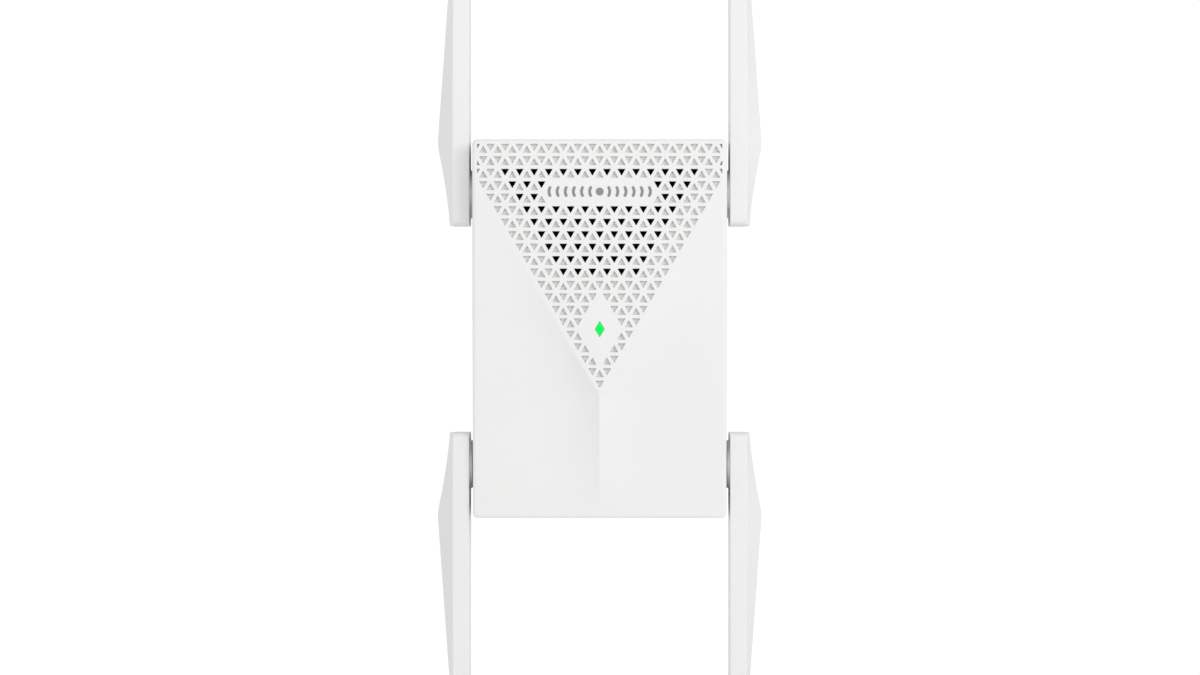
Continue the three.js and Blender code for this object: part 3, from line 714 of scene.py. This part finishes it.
def front_cover():
    """The front shell: relief, grille of blind dimples and open vents, lamp hole, fillets and walls."""
    skin = Skin()
    cells = cell_centres()
    rims = [cell_loop(cell, RIM_SHARE) for cell in cells]
    fillet_steps = 5
    radii = edge_radii()
    inner_loop = outline(SIDE_FILLET, END_FILLET)
    heights = [FRONT_Y + soft_depth(x, z) for x, z in inner_loop]
    rings = []
    for i in range(fillet_steps + 1):
        turn = math.pi / 2 * i / fillet_steps
        loop = outline(SIDE_FILLET * (1 - math.sin(turn)), END_FILLET * (1 - math.sin(turn)))
        drops = [r * (1 - math.cos(turn)) for r in radii]
        rings.append([(x, y + drop, z) for (x, z), y, drop in zip(loop, heights, drops)])
    back = SPLIT_Y - GAP / 2
    ease = 0.15
    rings.append([(x, back - ease, z) for x, z in outline()])
    rings.append([(x, back, z) for x, z in outline(ease)])
    rings.append([(x, back, z) for x, z in outline(WALL)])
    rings.append([(x, FRONT_Y + WALL + front_depth(x, z), z) for x, z in outline(WALL)])
    skin.bands(rings)

    lamp_rim, lamp_bore = diamond(*LAMP_RIM), diamond(*LAMP_BORE)
    skin.fill(
        [inner_loop, *rims, lamp_rim],
        lambda x, z: (x, FRONT_Y + soft_depth(x, z), z),
        surface_points(),
    )
    floors = []
    for cell, rim in zip(cells, rims):
        levels = [(rim, 0)]
        levels += [(cell_loop(cell, share), y) for share, y in (VENT_LEVELS if cell[3] else DIMPLE_LEVELS)]
        loops = [[(x, FRONT_Y + y, z) for x, z in loop] for loop, y in levels]
        skin.bands(loops)
        if cell[3]:
            floors.append(levels[-1][0])
        else:
            skin.face(loops[-1])
    levels = [(lamp_rim, 0), (lamp_bore, LAMP_RIM_DEPTH), (lamp_bore, WALL)]
    skin.bands([[(x, FRONT_Y + y, z) for x, z in loop] for loop, y in levels])
    floors.append(lamp_bore)
    grid, lamp_clear_x, lamp_clear_z = 4, 4, 6
    coarse = [(x, z) for x in range(-36, 37, grid) for z in range(-56, 16, grid)]
    skin.fill(
        [outline(WALL), *floors],
        lambda x, z: (x, FRONT_Y + WALL + front_depth(x, z), z),
        [(x, z) for x, z in coarse if abs(x) > lamp_clear_x or abs(z) > lamp_clear_z],
    )
    shell = skin.to_object("front_shell")
    combine(shell, shared_cuts())
    dress(shell, "housing", "white_plastic", "front_cover")


# How deep the openings run: from the side's face, and from the inside of the bottom wall.
NECK_CUT_DEPTH, SOCKET_CUT_DEPTH, RESET_CUT_DEPTH = 5, 3, 1
SOCKET_HOLE_CORNER_R, RESET_HOLE_R = 0.5, 1.1


def shared_cuts():
    """Openings cut half in each shell: hinge necks, network socket and reset hole."""
    cuts = Skin()
    for sx in (-1, 1):
        for sz in (-1, 1):
            centre = (SPLIT_Y, sz * HINGE_Z)
            ends = (sx * (HALF_W - NECK_CUT_DEPTH), sx * (HALF_W + OVERCUT))
            slab(cuts, along_x, circle(NECK_HOLE_R, centre), min(ends), max(ends), 0)
    below, bottom = -HALF_H - OVERCUT, -HALF_H + WALL
    low, high = box_mm("ethernet_jack")
    half = [(high[i] - low[i]) / 2 + GAP for i in (0, 1)]
    socket = rectangle(*half, SOCKET_HOLE_CORNER_R, (mid(low, high), mid(low, high, 1)))
    slab(cuts, along_z, socket, below, bottom + SOCKET_CUT_DEPTH, 0)
    low, high = box_mm("reset_plunger")
    reset = circle(RESET_HOLE_R, (mid(low, high), mid(low, high, 1)), 32)
    slab(cuts, along_z, reset, below, bottom + RESET_CUT_DEPTH, 0)
    return cuts


# ---- Rear cover ----

POST_X, POST_Z = 32.5, 52.3
POST_R, POST_BORE_R, POST_FOOT_Y, POST_TOP_Y = 4.35, 1.7, -1.5, -14.3
WELL_R, WELL_Y = 3.1, -7.0
# The opening of a counterbore in the back: wider than its wall, its depth and its chamfer.
WELL_WALL, WELL_RIM, WELL_DEPTH_Y, WELL_RIM_Y, WELL_OUT_Y = 0.02, 0.35, -2.6, -0.3, 0.05
# The lip inside the joint of the shells: insets from the outline, and levels.
LIP_OUT, LIP_IN, LIP_ROOT, LIP_EASE = 2.3, 3.5, 1.5, 0.1
LIP_TOP_Y, LIP_STEP_Y, LIP_FOOT_Y = -17.0, -14.6, -13.5
POCKET_HALF_Y, POCKET_HALF_Z, POCKET_R, POCKET_Y, POCKET_IN_X = 3.5, 8, 0.5, -16.2, 30
SLOT_COUNT, SLOT_PITCH, SLOT_HALF, SLOT_LOW_Y, SLOT_HIGH_Y = 11, 4.4, 0.8, -12, -5
LABEL_HALF_X, LABEL_HALF_Z, LABEL_Z = 24.0, 13.0, -33.0
LABEL_RECESS, LABEL_R, LABEL_THICK, LABEL_EDGE = 0.3, 2, 0.12, 0.03


def screw_places():
    """The (x, z) of each case screw, from the upper left one."""
    return [(sx * POST_X, sz * POST_Z) for sz in (1, -1) for sx in (-1, 1)]


def rear_cover():
    """The rear shell: chamfered back, lip, screw wells, cooling slots, label recess, openings."""
    skin = Skin()
    front, ease = SPLIT_Y + GAP / 2, 0.15
    straight, chamfer_r, corner_points = 4, 1.4, 6
    chamfer = [(0.0, front + straight), (0.0, -REAR_CHAMFER)]
    chamfer += [(REAR_CHAMFER, 0.0), (REAR_CHAMFER + straight, 0.0)]
    eased = softened(chamfer, [0, chamfer_r, chamfer_r, 0], corner_points - 1)
    eased = eased[corner_points:3 * corner_points]
    profile = [(WALL, -WALL), (WALL, front), (ease, front), (0.0, front + ease), *eased]
    skin.bands([[(x, y, z) for x, z in outline(inset)] for inset, y in profile])
    skin.fill([outline(profile[-1][0])], lambda x, z: (x, profile[-1][1], z))
    skin.fill([outline(WALL)], lambda x, z: (x, -WALL, z))
    shell = skin.to_object("rear_shell")

    lip = Skin()
    eased_y = LIP_TOP_Y + LIP_EASE
    lip_profile = [(LIP_OUT, LIP_TOP_Y), (LIP_IN - LIP_EASE, LIP_TOP_Y), (LIP_IN, eased_y)]
    lip_profile += [(LIP_IN, LIP_FOOT_Y), (LIP_ROOT, LIP_FOOT_Y), (LIP_ROOT, LIP_STEP_Y)]
    lip_profile += [(LIP_OUT, LIP_STEP_Y), (LIP_OUT, eased_y), (LIP_OUT, LIP_TOP_Y)]
    lip.bands([[(x, y, z) for x, z in outline(inset)] for inset, y in lip_profile])
    post = [(POST_R, POST_FOOT_Y), (POST_R, POST_TOP_Y), (POST_BORE_R, POST_TOP_Y)]
    post += [(POST_BORE_R, WELL_Y), (WELL_R, WELL_Y)]
    post += [(WELL_R, POST_FOOT_Y), (POST_R, POST_FOOT_Y)]
    for place in screw_places():
        turned(lip, along_y, post, 40, place)
    combine(shell, lip, "UNION")

    combine(shell, shared_cuts())
    cuts = Skin()
    wall_r, rim_r = WELL_R + WELL_WALL, WELL_R + WELL_RIM
    well = [(AXIS_R, WELL_DEPTH_Y), (wall_r, WELL_DEPTH_Y), (wall_r, WELL_RIM_Y)]
    well += [(rim_r, WELL_OUT_Y), (rim_r, OVERCUT), (AXIS_R, OVERCUT)]
    for place in screw_places():
        turned(cuts, along_y, well, 40, place)
    for sx in (-1, 1):
        for sz in (-1, 1):
            ends = sorted((sx * POCKET_IN_X, sx * (HALF_W - WALL - 0.02)))
            pocket = rectangle(POCKET_HALF_Y, POCKET_HALF_Z, POCKET_R, (POCKET_Y, sz * HINGE_Z))
            slab(cuts, along_x, pocket, *ends, 0)
    combine(shell, cuts)

    cuts = Skin()
    middle_y, half_y = (SLOT_LOW_Y + SLOT_HIGH_Y) / 2, (SLOT_HIGH_Y - SLOT_LOW_Y) / 2
    for i in range(SLOT_COUNT):
        at = (i - (SLOT_COUNT - 1) / 2) * SLOT_PITCH
        side = rectangle(half_y, SLOT_HALF, SLOT_HALF - 0.01, (middle_y, at))
        for sx in (-1, 1):
            ends = sorted((sx * (HALF_W - WALL - OVERCUT), sx * (HALF_W + OVERCUT)))
            slab(cuts, along_x, side, *ends, 0)
        top = rectangle(SLOT_HALF, half_y, SLOT_HALF - 0.01, (at, middle_y))
        slab(cuts, along_z, top, HALF_H - WALL - OVERCUT, HALF_H + OVERCUT, 0)
    low, high = box_mm("wps_button")
    button_at = (mid(low, high), high[1] - BUTTON_FROM_FRONT_END)
    button = rectangle(BUTTON_HOLE_HALF, BUTTON_HOLE_HALF, 1.3, button_at)
    slab(cuts, along_z, button, -HALF_H - OVERCUT, -HALF_H + WALL + 0.5, 0)
    slab(cuts, along_y, plug_outline(GAP), -WALL - 0.5, OVERCUT, 0)
    recess = rectangle(LABEL_HALF_X + GAP, LABEL_HALF_Z + GAP, LABEL_R + GAP, (0, LABEL_Z))
    slab(cuts, along_y, recess, -LABEL_RECESS, OVERCUT, 0)
    combine(shell, cuts)
    dress(shell, "housing", "white_plastic", "rear_cover")

    skin = Skin()
    sheet = rectangle(LABEL_HALF_X, LABEL_HALF_Z, LABEL_R, (0, LABEL_Z), 8)
    slab(skin, along_y, sheet, -LABEL_RECESS, -LABEL_RECESS + LABEL_THICK, LABEL_EDGE)
    dress(skin.to_object("blank_label"), "housing", "clear_film", look="label")


THREAD_TURNS, THREAD_PITCH, THREAD_END_Y = 16, 0.8, -20.4
SHANK_R, CORE_R, THREAD_R = 1.4, 1.15, 1.45
CROSS_REACH, CROSS_HALF = 1.5, 0.28
# The pan head: (radius, height over its seat).
SCREW_HEAD = (
    (SHANK_R, 0), (2.55, 0), (2.7, 0.15), (2.7, 0.9), (2.55, 1.25), (2.1, 1.65), (1.4, 1.9), (AXIS_R, 2)
)


def case_screw(number, x, z):
    """A pan-head screw with a cross recess, sunk in its well."""
    skin = Skin()
    seat = WELL_Y + GAP
    profile = [(AXIS_R, -22), (0.5, -21.9), (SHANK_R, -20.6)]
    for turn in range(THREAD_TURNS):
        y = THREAD_END_Y + turn * THREAD_PITCH
        profile += [(CORE_R, y), (THREAD_R, y + THREAD_PITCH / 2)]
    profile += [(radius, seat + rise) for radius, rise in SCREW_HEAD]
    turned(skin, along_y, profile, 32, (x, z))
    screw = skin.to_object(f"screw_{number}")
    for half_u, half_v in ((CROSS_REACH, CROSS_HALF), (CROSS_HALF, CROSS_REACH)):
        slot = Skin()
        slab(slot, along_y, rectangle(half_u, half_v, 0.2, (x, z), 3), seat + 0.75, seat + 3, 0)
        combine(screw, slot)
    dress(screw, "housing", "steel", f"case_screw_{number}")


# ---- Antennas ----


def ridge_height(z):
    """How far the antenna's outer ridge stands out, rising to its peak and falling to the tip."""
    if z > RIDGE_PEAK_Z:
        share = (z - RIDGE_PEAK_Z) / (BLADE_TIP_Z - RIDGE_PEAK_Z)
        return RIDGE_PEAK + (RIDGE_TIP - RIDGE_PEAK) * share
    share = max(0.0, (z - BLADE_END_Z) / (RIDGE_PEAK_Z - BLADE_END_Z))
    return RIDGE_ROOT + (RIDGE_PEAK - RIDGE_ROOT) * share**RIDGE_POWER


def soft_ridge(z):
    """The ridge with its peak slightly rounded along the antenna."""
    return sum(ridge_height(z + d) for d in (-1.5, -0.75, 0, 0.75, 1.5)) / 5


def corner_cut(distance, radius):
    """How far a corner of this radius has taken the side in, at a distance from the end."""
    if distance >= radius:
        return 0.0
    return radius - math.sqrt(radius**2 - (radius - distance) ** 2)


# Distances from an antenna's end at which its rounded end is drawn, and steps between the ends.
END_STATIONS = (0, 0.04, 0.12, 0.25, 0.45, 0.75, 1.1, 1.5, 2.0, 3.0)
BLADE_STEPS = 46
FACE_END_R, CREASE_END_R, RIDGE_END_R = 0.25, 0.4, 0.5
FACE_R, CREASE_EDGE_R, RIDGE_R = 0.35, 0.6, 1.0


def blade_loops(inset):
    """Loops (z, [(x, y), ...]) of the antenna's body, or of its hollow where inset is its wall."""
    low, high = BLADE_END_Z + inset, BLADE_TIP_Z - inset
    start, run = low + END_STATIONS[-1], high - low - 2 * END_STATIONS[-1]
    middle = [start + run * i / BLADE_STEPS for i in range(1, BLADE_STEPS)]
    stations = [low + d for d in END_STATIONS] + middle + [high - d for d in reversed(END_STATIONS)]
    loops = []
    for z in stations:
        end = min(z - low, high - z)
        half_y = BLADE_HALF_Y - inset - corner_cut(end, BLADE_CORNER_R - inset)
        face = BLADE_IN - OVERCUT if inset else BLADE_IN + corner_cut(end, FACE_END_R)
        crease = BLADE_CREASE - inset - corner_cut(end, CREASE_END_R)
        ridge = soft_ridge(z) - 1.2 * inset - corner_cut(end, RIDGE_END_R)
        corners = [(face, -half_y), (crease, -half_y), (ridge, 0), (crease, half_y), (face, half_y)]
        radii = [FACE_R, CREASE_EDGE_R, RIDGE_R, CREASE_EDGE_R, FACE_R]
        loops.append((z, softened(corners, radii, 4)))
    return loops


def lofted(skin, place, loops):
    """A solid through flat loops, each given as (level, loop)."""
    rings = [[place(u, v, level) for u, v in loop] for level, loop in loops]
    skin.bands(rings)
    skin.face(rings[0])
    skin.face(rings[-1])


SEAM = 0.12
COVER_THICK, COVER_EDGE = 1.4, 0.15


def antenna(name, sx, sz):
    """One antenna: hollow outer shell, inner cover plate with its hinge boss, seam between them."""

    def place(x, y, z):
        return (sx * (HALF_W + x), SPLIT_Y + y, sz * (HINGE_Z + z))

    def across(u, v, w):
        return place(w, u, v)

    skin, hollow = Skin(), Skin()
    lofted(skin, place, blade_loops(0))
    lofted(hollow, place, blade_loops(BLADE_WALL))
    shell = skin.to_object(f"{name}_outer")
    combine(shell, hollow)
    dress(shell, name, "antenna_plastic", f"{name}_shell")

    margin = BLADE_WALL + SEAM
    middle, half = (BLADE_TIP_Z + BLADE_END_Z) / 2, (BLADE_TIP_Z - BLADE_END_Z) / 2 - margin
    plate_outline = rectangle(BLADE_HALF_Y - margin, half, BLADE_CORNER_R - margin, (0, middle), 8)
    skin, boss, bore = Skin(), Skin(), Skin()
    slab(skin, across, plate_outline, BLADE_IN, BLADE_IN + COVER_THICK, COVER_EDGE)
    profile = [(BOSS_R - 0.4, GAP), (BOSS_R - 0.1, GAP + 0.12), (BOSS_R, GAP + 0.4)]
    profile += [(BOSS_R, BLADE_IN), (BOSS_R, BLADE_IN + 0.5)]
    turned(boss, across, [(1e-3, GAP), *profile, (1e-3, BLADE_IN + 0.5)], 64)
    turned(bore, across, [(NECK_HOLE_R, -1), (NECK_HOLE_R, BLADE_IN + 3)], 48)
    plate = skin.to_object(f"{name}_inner")
    combine(plate, boss, "UNION")
    combine(plate, bore)
    dress(plate, name, "antenna_plastic", f"{name}_cover")


# ---- Lamp, printed mark and plug ----


def lamp():
    """The green diamond lens: a domed front on a light pipe that runs back to the diode."""
    low, high = box_mm("led_lens")
    skin = Skin()
    levels = [(0.45, 0.05), (0.75, 0.08), (0.92, 0.16), (1.0, 0.35), (1.0, 3.0), (0.9, high[1] - low[1])]
    loops = [(FRONT_Y + y, diamond(LENS_HALF_W * share, LENS_HALF_H * share)) for share, y in levels]
    lofted(skin, along_y, loops)
    dress(skin.to_object("lamp_lens"), "housing", "lamp_plastic", "led_lens")


MARK_HALF_HEIGHT, MARK_STROKE, MARK_ARC_R, MARK_PITCH, MARK_ARCS = 1.7, 0.46, 2.5, 2.55, 6
MARK_DOT_R, MARK_FIRST_ARC, MARK_RISE = 1.25, 1.9, 0.1
MARK_OUT, MARK_IN = 0.02, 0.05


def printed_mark():
    """A generic mark for radio waves, printed on the plain bar: a dot with arcs on both sides."""
    skin = Skin()
    middle_z = (LAMP_ROW - BAR_ROW) * CELL_H + MARK_RISE
    low, high = FRONT_Y - MARK_OUT, FRONT_Y + MARK_IN
    slab(skin, along_y, circle(MARK_DOT_R, (0, middle_z), 40), low, high, 0)
    for number in range(MARK_ARCS):
        outermost = MARK_DOT_R + MARK_FIRST_ARC + MARK_PITCH * number
        for side in (-1, 1):
            arc = [(side * (outermost + u), middle_z + v) for u, v in arc_stroke()]
            ring_faces(skin, arc, low, high)
    dress(skin.to_object("printed_mark"), "housing", "cable_jacket", look="ink")


def arc_stroke():
    """A round-ended stroke along a short arc, bulging towards +u: up its outside, down its inside."""
    reach = math.asin((MARK_HALF_HEIGHT - MARK_STROKE) / MARK_ARC_R)
    body = [(reach * step / 8, MARK_STROKE) for step in range(-8, 9)]
    caps = [math.pi / 2 * step / 4 for step in range(1, 5)]
    cap = [(reach + math.sin(a) * MARK_STROKE / MARK_ARC_R, MARK_STROKE * math.cos(a)) for a in caps]
    stations = [(-angle, half) for angle, half in reversed(cap)] + body + cap
    outside = [(angle, MARK_ARC_R + half) for angle, half in stations]
    inside = [(angle, MARK_ARC_R - half) for angle, half in reversed(stations)]
    return [(r * math.cos(angle) - MARK_ARC_R, r * math.sin(angle)) for angle, r in outside + inside]


def ring_faces(skin, arc, low, high):
    """A thin solid over a curved stroke, whose two sides run in opposite directions."""
    half = len(arc) // 2
    levels = [[(x, y, z) for x, z in arc] for y in (low, high)]
    skin.band(*levels)
    for level in levels:
        for i in range(half - 1):
            skin.face([level[i], level[i + 1], level[-2 - i], level[-1 - i]])


PLUG_IN_Y, COLLAR_OUT = -9, 2
COLLAR_LOW_Y, COLLAR_HIGH_Y = -4.3, -2.3
BLADE_CLEARANCE, BLADE_TIP, BLADE_EDGE = 0.15, 1.7, 0.3
BLADE_HOLE_R, BLADE_HOLE_FROM_TIP = 1.6, 5.3
BLADE_ROOT_R, BLADE_POINT_R = 0.6, 1.2


def plug_outline(grow):
    """The plug block seen from behind, grown by a distance all round."""
    return rectangle(PLUG_HALF_X + grow, PLUG_HALF_Z + grow, PLUG_R + grow, steps=10)


def plug():
    """The plug insert with its two blades."""
    block, collar, cuts = Skin(), Skin(), Skin()
    slab(block, along_y, plug_outline(0), PLUG_IN_Y, 0, 0.5)
    slab(collar, along_y, plug_outline(COLLAR_OUT), COLLAR_LOW_Y, COLLAR_HIGH_Y, 0.2)
    insert = block.to_object("plug_block")
    combine(insert, collar, "UNION")
    for node in PLUG_BLADES:
        low, high = box_mm(node)
        half = [(high[i] - low[i]) / 2 + BLADE_CLEARANCE for i in (0, 2)]
        hole = rectangle(*half, 0.2, (mid(low, high), 0), 3)
        slab(cuts, along_y, hole, PLUG_IN_Y - OVERCUT, OVERCUT, 0)
    combine(insert, cuts)
    dress(insert, "housing", "white_plastic", "plug_insert")

    for node in PLUG_BLADES:
        low, high = box_mm(node)
        skin = Skin()
        corners = [
            (low[1], low[2]), (high[1] - BLADE_TIP, low[2]), (high[1], low[2] + BLADE_TIP),
            (high[1], high[2] - BLADE_TIP), (high[1] - BLADE_TIP, high[2]), (low[1], high[2]),
        ]
        blade = softened(corners, [BLADE_ROOT_R, *[BLADE_POINT_R] * 4, BLADE_ROOT_R], 5)
        hole = circle(BLADE_HOLE_R, (high[1] - BLADE_HOLE_FROM_TIP, 0), 32)
        slab(skin, along_x, blade, low[0], high[0], BLADE_EDGE, [hole])
        dress(skin.to_object(node.replace("plug_", "")), "housing", "brass", node)


CAP_TOP_Z, CAP_COLLAR_Z, CAP_ARM_Z = -56.5, -57.2, -57.19
CAP_COLLAR_HALF, CAP_ARM_HALF, CAP_DISH_R, CAP_DISH_DEPTH = 3.5, 1.4, 1.5, 0.12


def wps_cap():
    """The push button on the underside, with its collar and the arm that reaches the switch."""
    low, high = box_mm("wps_button")
    x, y = mid(low, high), high[1] - BUTTON_FROM_FRONT_END
    skin, rest = Skin(), Skin()
    slab(skin, along_z, rectangle(BUTTON_HALF, BUTTON_HALF, 1, (x, y), 8), low[2], CAP_TOP_Z, 0.35)
    collar = rectangle(CAP_COLLAR_HALF, CAP_COLLAR_HALF, 0.4, (x, y))
    slab(rest, along_z, collar, CAP_COLLAR_Z, CAP_TOP_Z, 0.1)
    arm = rectangle(CAP_ARM_HALF, (y - low[1]) / 2, 0.3, (x, (y + low[1]) / 2))
    slab(rest, along_z, arm, CAP_ARM_Z, high[2], 0.1)
    cap = skin.to_object("wps_cap")
    combine(cap, rest, "UNION")
    dish = Skin()
    dish_loop = circle(CAP_DISH_R, (x, y), 40)
    slab(dish, along_z, dish_loop, low[2] - OVERCUT, low[2] + CAP_DISH_DEPTH, 0.08)
    combine(cap, dish)
    dress(cap, "wps_button", "white_plastic", "wps_button")


# ---- Carried-over CAD nodes ----


def carried_nodes():
    """Every CAD node still shown gets its slot's material, eased edges and smooth shading."""
    slots = {part["node"]: part["material_slot"] for part in frame["record"]["subparts"]}
    for name, obj in frame["nodes"].items():
        if obj.hide_render:
            continue
        for slot in obj.material_slots:
            slot.material = MATERIALS[slots[name]]
        flatten = obj.modifiers.new("merge flat faces", "DECIMATE")
        flatten.decimate_type, flatten.angle_limit = "DISSOLVE", math.radians(1)
        bevel = obj.modifiers.new("eased edges", "BEVEL")
        bevel.width, bevel.segments = 0.1 * MM, 2
        bevel.limit_method, bevel.angle_limit = "ANGLE", math.radians(50)
        weighted = obj.modifiers.new("weighted normals", "WEIGHTED_NORMAL")
        weighted.weight = 60


# ---- Studio ----


def area_light(name, turn, rise, distance, size, power):
    """A round soft light aimed at the object, turned from its front towards +X and raised."""
    turn, rise = math.radians(turn), math.radians(rise)
    towards = Vector((math.sin(turn) * math.cos(rise), -math.cos(turn) * math.cos(rise), math.sin(rise)))
    data = bpy.data.lights.new(name, "AREA")
    data.shape, data.size, data.energy = "DISK", size, power
    light = bpy.data.objects.new(name, data)
    light.location = towards * distance
    light.rotation_euler = towards.to_track_quat("Z", "Y").to_euler()
    bpy.context.scene.collection.objects.link(light)


SEEN_LEVEL, AMBIENT_LEVEL, AMBIENT_POLES, POLES_FROM = 1.05, 0.89, 0.41, 0.35


def surround():
    """A white room: plain white to the camera, as a light it is weaker straight up and down."""
    world = bpy.data.worlds.new("surround")
    bpy.context.scene.world = world
    world.use_nodes = True
    nodes, links = world.node_tree.nodes, world.node_tree.links
    seen, ambient = nodes["Background"], nodes.new("ShaderNodeBackground")
    preset(seen, {"Color": (1, 1, 1, 1), "Strength": SEEN_LEVEL})
    preset(ambient, {"Color": (1, 1, 1, 1)})
    direction, parts = nodes.new("ShaderNodeTexCoord"), nodes.new("ShaderNodeSeparateXYZ")
    steep, level = nodes.new("ShaderNodeMath"), nodes.new("ShaderNodeMapRange")
    steep.operation = "ABSOLUTE"
    preset(level, {"From Min": POLES_FROM, "From Max": 1.0})
    preset(level, {"To Min": AMBIENT_LEVEL, "To Max": AMBIENT_LEVEL * AMBIENT_POLES})
    links.new(direction.outputs["Generated"], parts.inputs["Vector"])
    links.new(parts.outputs["Z"], steep.inputs[0])
    links.new(steep.outputs["Value"], level.inputs["Value"])
    links.new(level.outputs["Result"], ambient.inputs["Strength"])
    path, mix = nodes.new("ShaderNodeLightPath"), nodes.new("ShaderNodeMixShader")
    links.new(path.outputs["Is Camera Ray"], mix.inputs["Fac"])
    links.new(ambient.outputs["Background"], mix.inputs[1])
    links.new(seen.outputs["Background"], mix.inputs[2])
    links.new(mix.outputs["Shader"], nodes["World Output"].inputs["Surface"])


# The floor's height, its radius and where it starts to fade, in metres.
FLOOR_Z, FLOOR_R, FADE_FROM = -0.19, 0.85, 0.25
FLOOR_RINGS, FLOOR_SIDES = 8, 96
FLOOR_GLOW = 0.06


def floor_disc():
    """A pale floor below the object that fades out at its rim and is clear from below."""
    mesh = bpy.data.meshes.new("floor")
    points, faces = [(0, 0, FLOOR_Z)], []
    for ring in range(1, FLOOR_RINGS + 1):
        reach = FLOOR_R * ring / FLOOR_RINGS
        points += [(x, y, FLOOR_Z) for x, y in circle(reach, count=FLOOR_SIDES)]
    for i in range(FLOOR_SIDES):
        ahead = (i + 1) % FLOOR_SIDES
        faces.append([0, 1 + i, 1 + ahead])
        for ring in range(FLOOR_RINGS - 1):
            a, b = 1 + ring * FLOOR_SIDES, 1 + (ring + 1) * FLOOR_SIDES
            faces.append([a + i, b + i, b + ahead, a + ahead])
    mesh.from_pydata(points, [], faces)
    floor = bpy.data.objects.new("floor", mesh)
    bpy.context.scene.collection.objects.link(floor)
    pale = Look("floor_paint", (0.9, 0.9, 0.9), 0.8)
    pale.tint(pale.noise(60), [(0.3, (0.89, 0.89, 0.89)), (0.7, (0.91, 0.91, 0.91))])
    preset(pale.shader, {"Emission Color": (1, 1, 1, 1), "Emission Strength": FLOOR_GLOW})
    centre = pale.node("ShaderNodeVectorMath", operation="LENGTH")
    pale.link(pale.space, centre.inputs[0])
    fade = pale.node("ShaderNodeMapRange", interpolation_type="SMOOTHSTEP")
    preset(fade, {"From Min": FADE_FROM, "From Max": FLOOR_R - 0.03, "To Min": 1, "To Max": 0})
    pale.link(centre.outputs["Value"], fade.inputs["Value"])
    above = pale.node("ShaderNodeMath", operation="SUBTRACT")
    preset(above, {0: 1})
    pale.link(pale.node("ShaderNodeNewGeometry").outputs["Backfacing"], above.inputs[1])
    shown = pale.node("ShaderNodeMath", operation="MULTIPLY")
    pale.link(fade.outputs["Result"], shown.inputs[0])
    pale.link(above.outputs["Value"], shown.inputs[1])
    pale.link(shown.outputs["Value"], pale.shader.inputs["Alpha"])
    mesh.materials.append(pale.material)


# The camera, in metres from the frame's origin and from the front of the object.
CAMERA_LENS, CAMERA_FAR, CAMERA_X, CAMERA_Z = 111.5, 1.165, 0.0001, -0.00265


def studio():
    """A white surround, a pale floor, a soft key from the front's right, a weak fill, a camera."""
    scene = bpy.context.scene
    scene.view_settings.view_transform = "Standard"
    surround()
    floor_disc()
    area_light("key", turn=31, rise=22, distance=1.3, size=0.8, power=4.5)
    area_light("fill", turn=-75, rise=5, distance=1.3, size=0.8, power=0.6)

    camera = bpy.data.cameras.new("camera")
    camera.lens, camera.sensor_width = CAMERA_LENS, 36
    camera.clip_end = 20
    eye = bpy.data.objects.new("camera", camera)
    eye.location = (CAMERA_X, FRONT_Y * MM - CAMERA_FAR, CAMERA_Z)
    eye.rotation_euler = (math.radians(90), 0, 0)
    scene.collection.objects.link(eye)
    scene.camera = eye


front_cover()
rear_cover()
for number, (x, z) in enumerate(screw_places(), 1):
    case_screw(number, x, z)
for vertical, sz in (("upper", 1), ("lower", -1)):
    for side, sx in (("left", -1), ("right", 1)):
        antenna(f"antenna_{vertical}_{side}", sx, sz)
lamp()
printed_mark()
plug()
wps_cap()
carried_nodes()
studio()
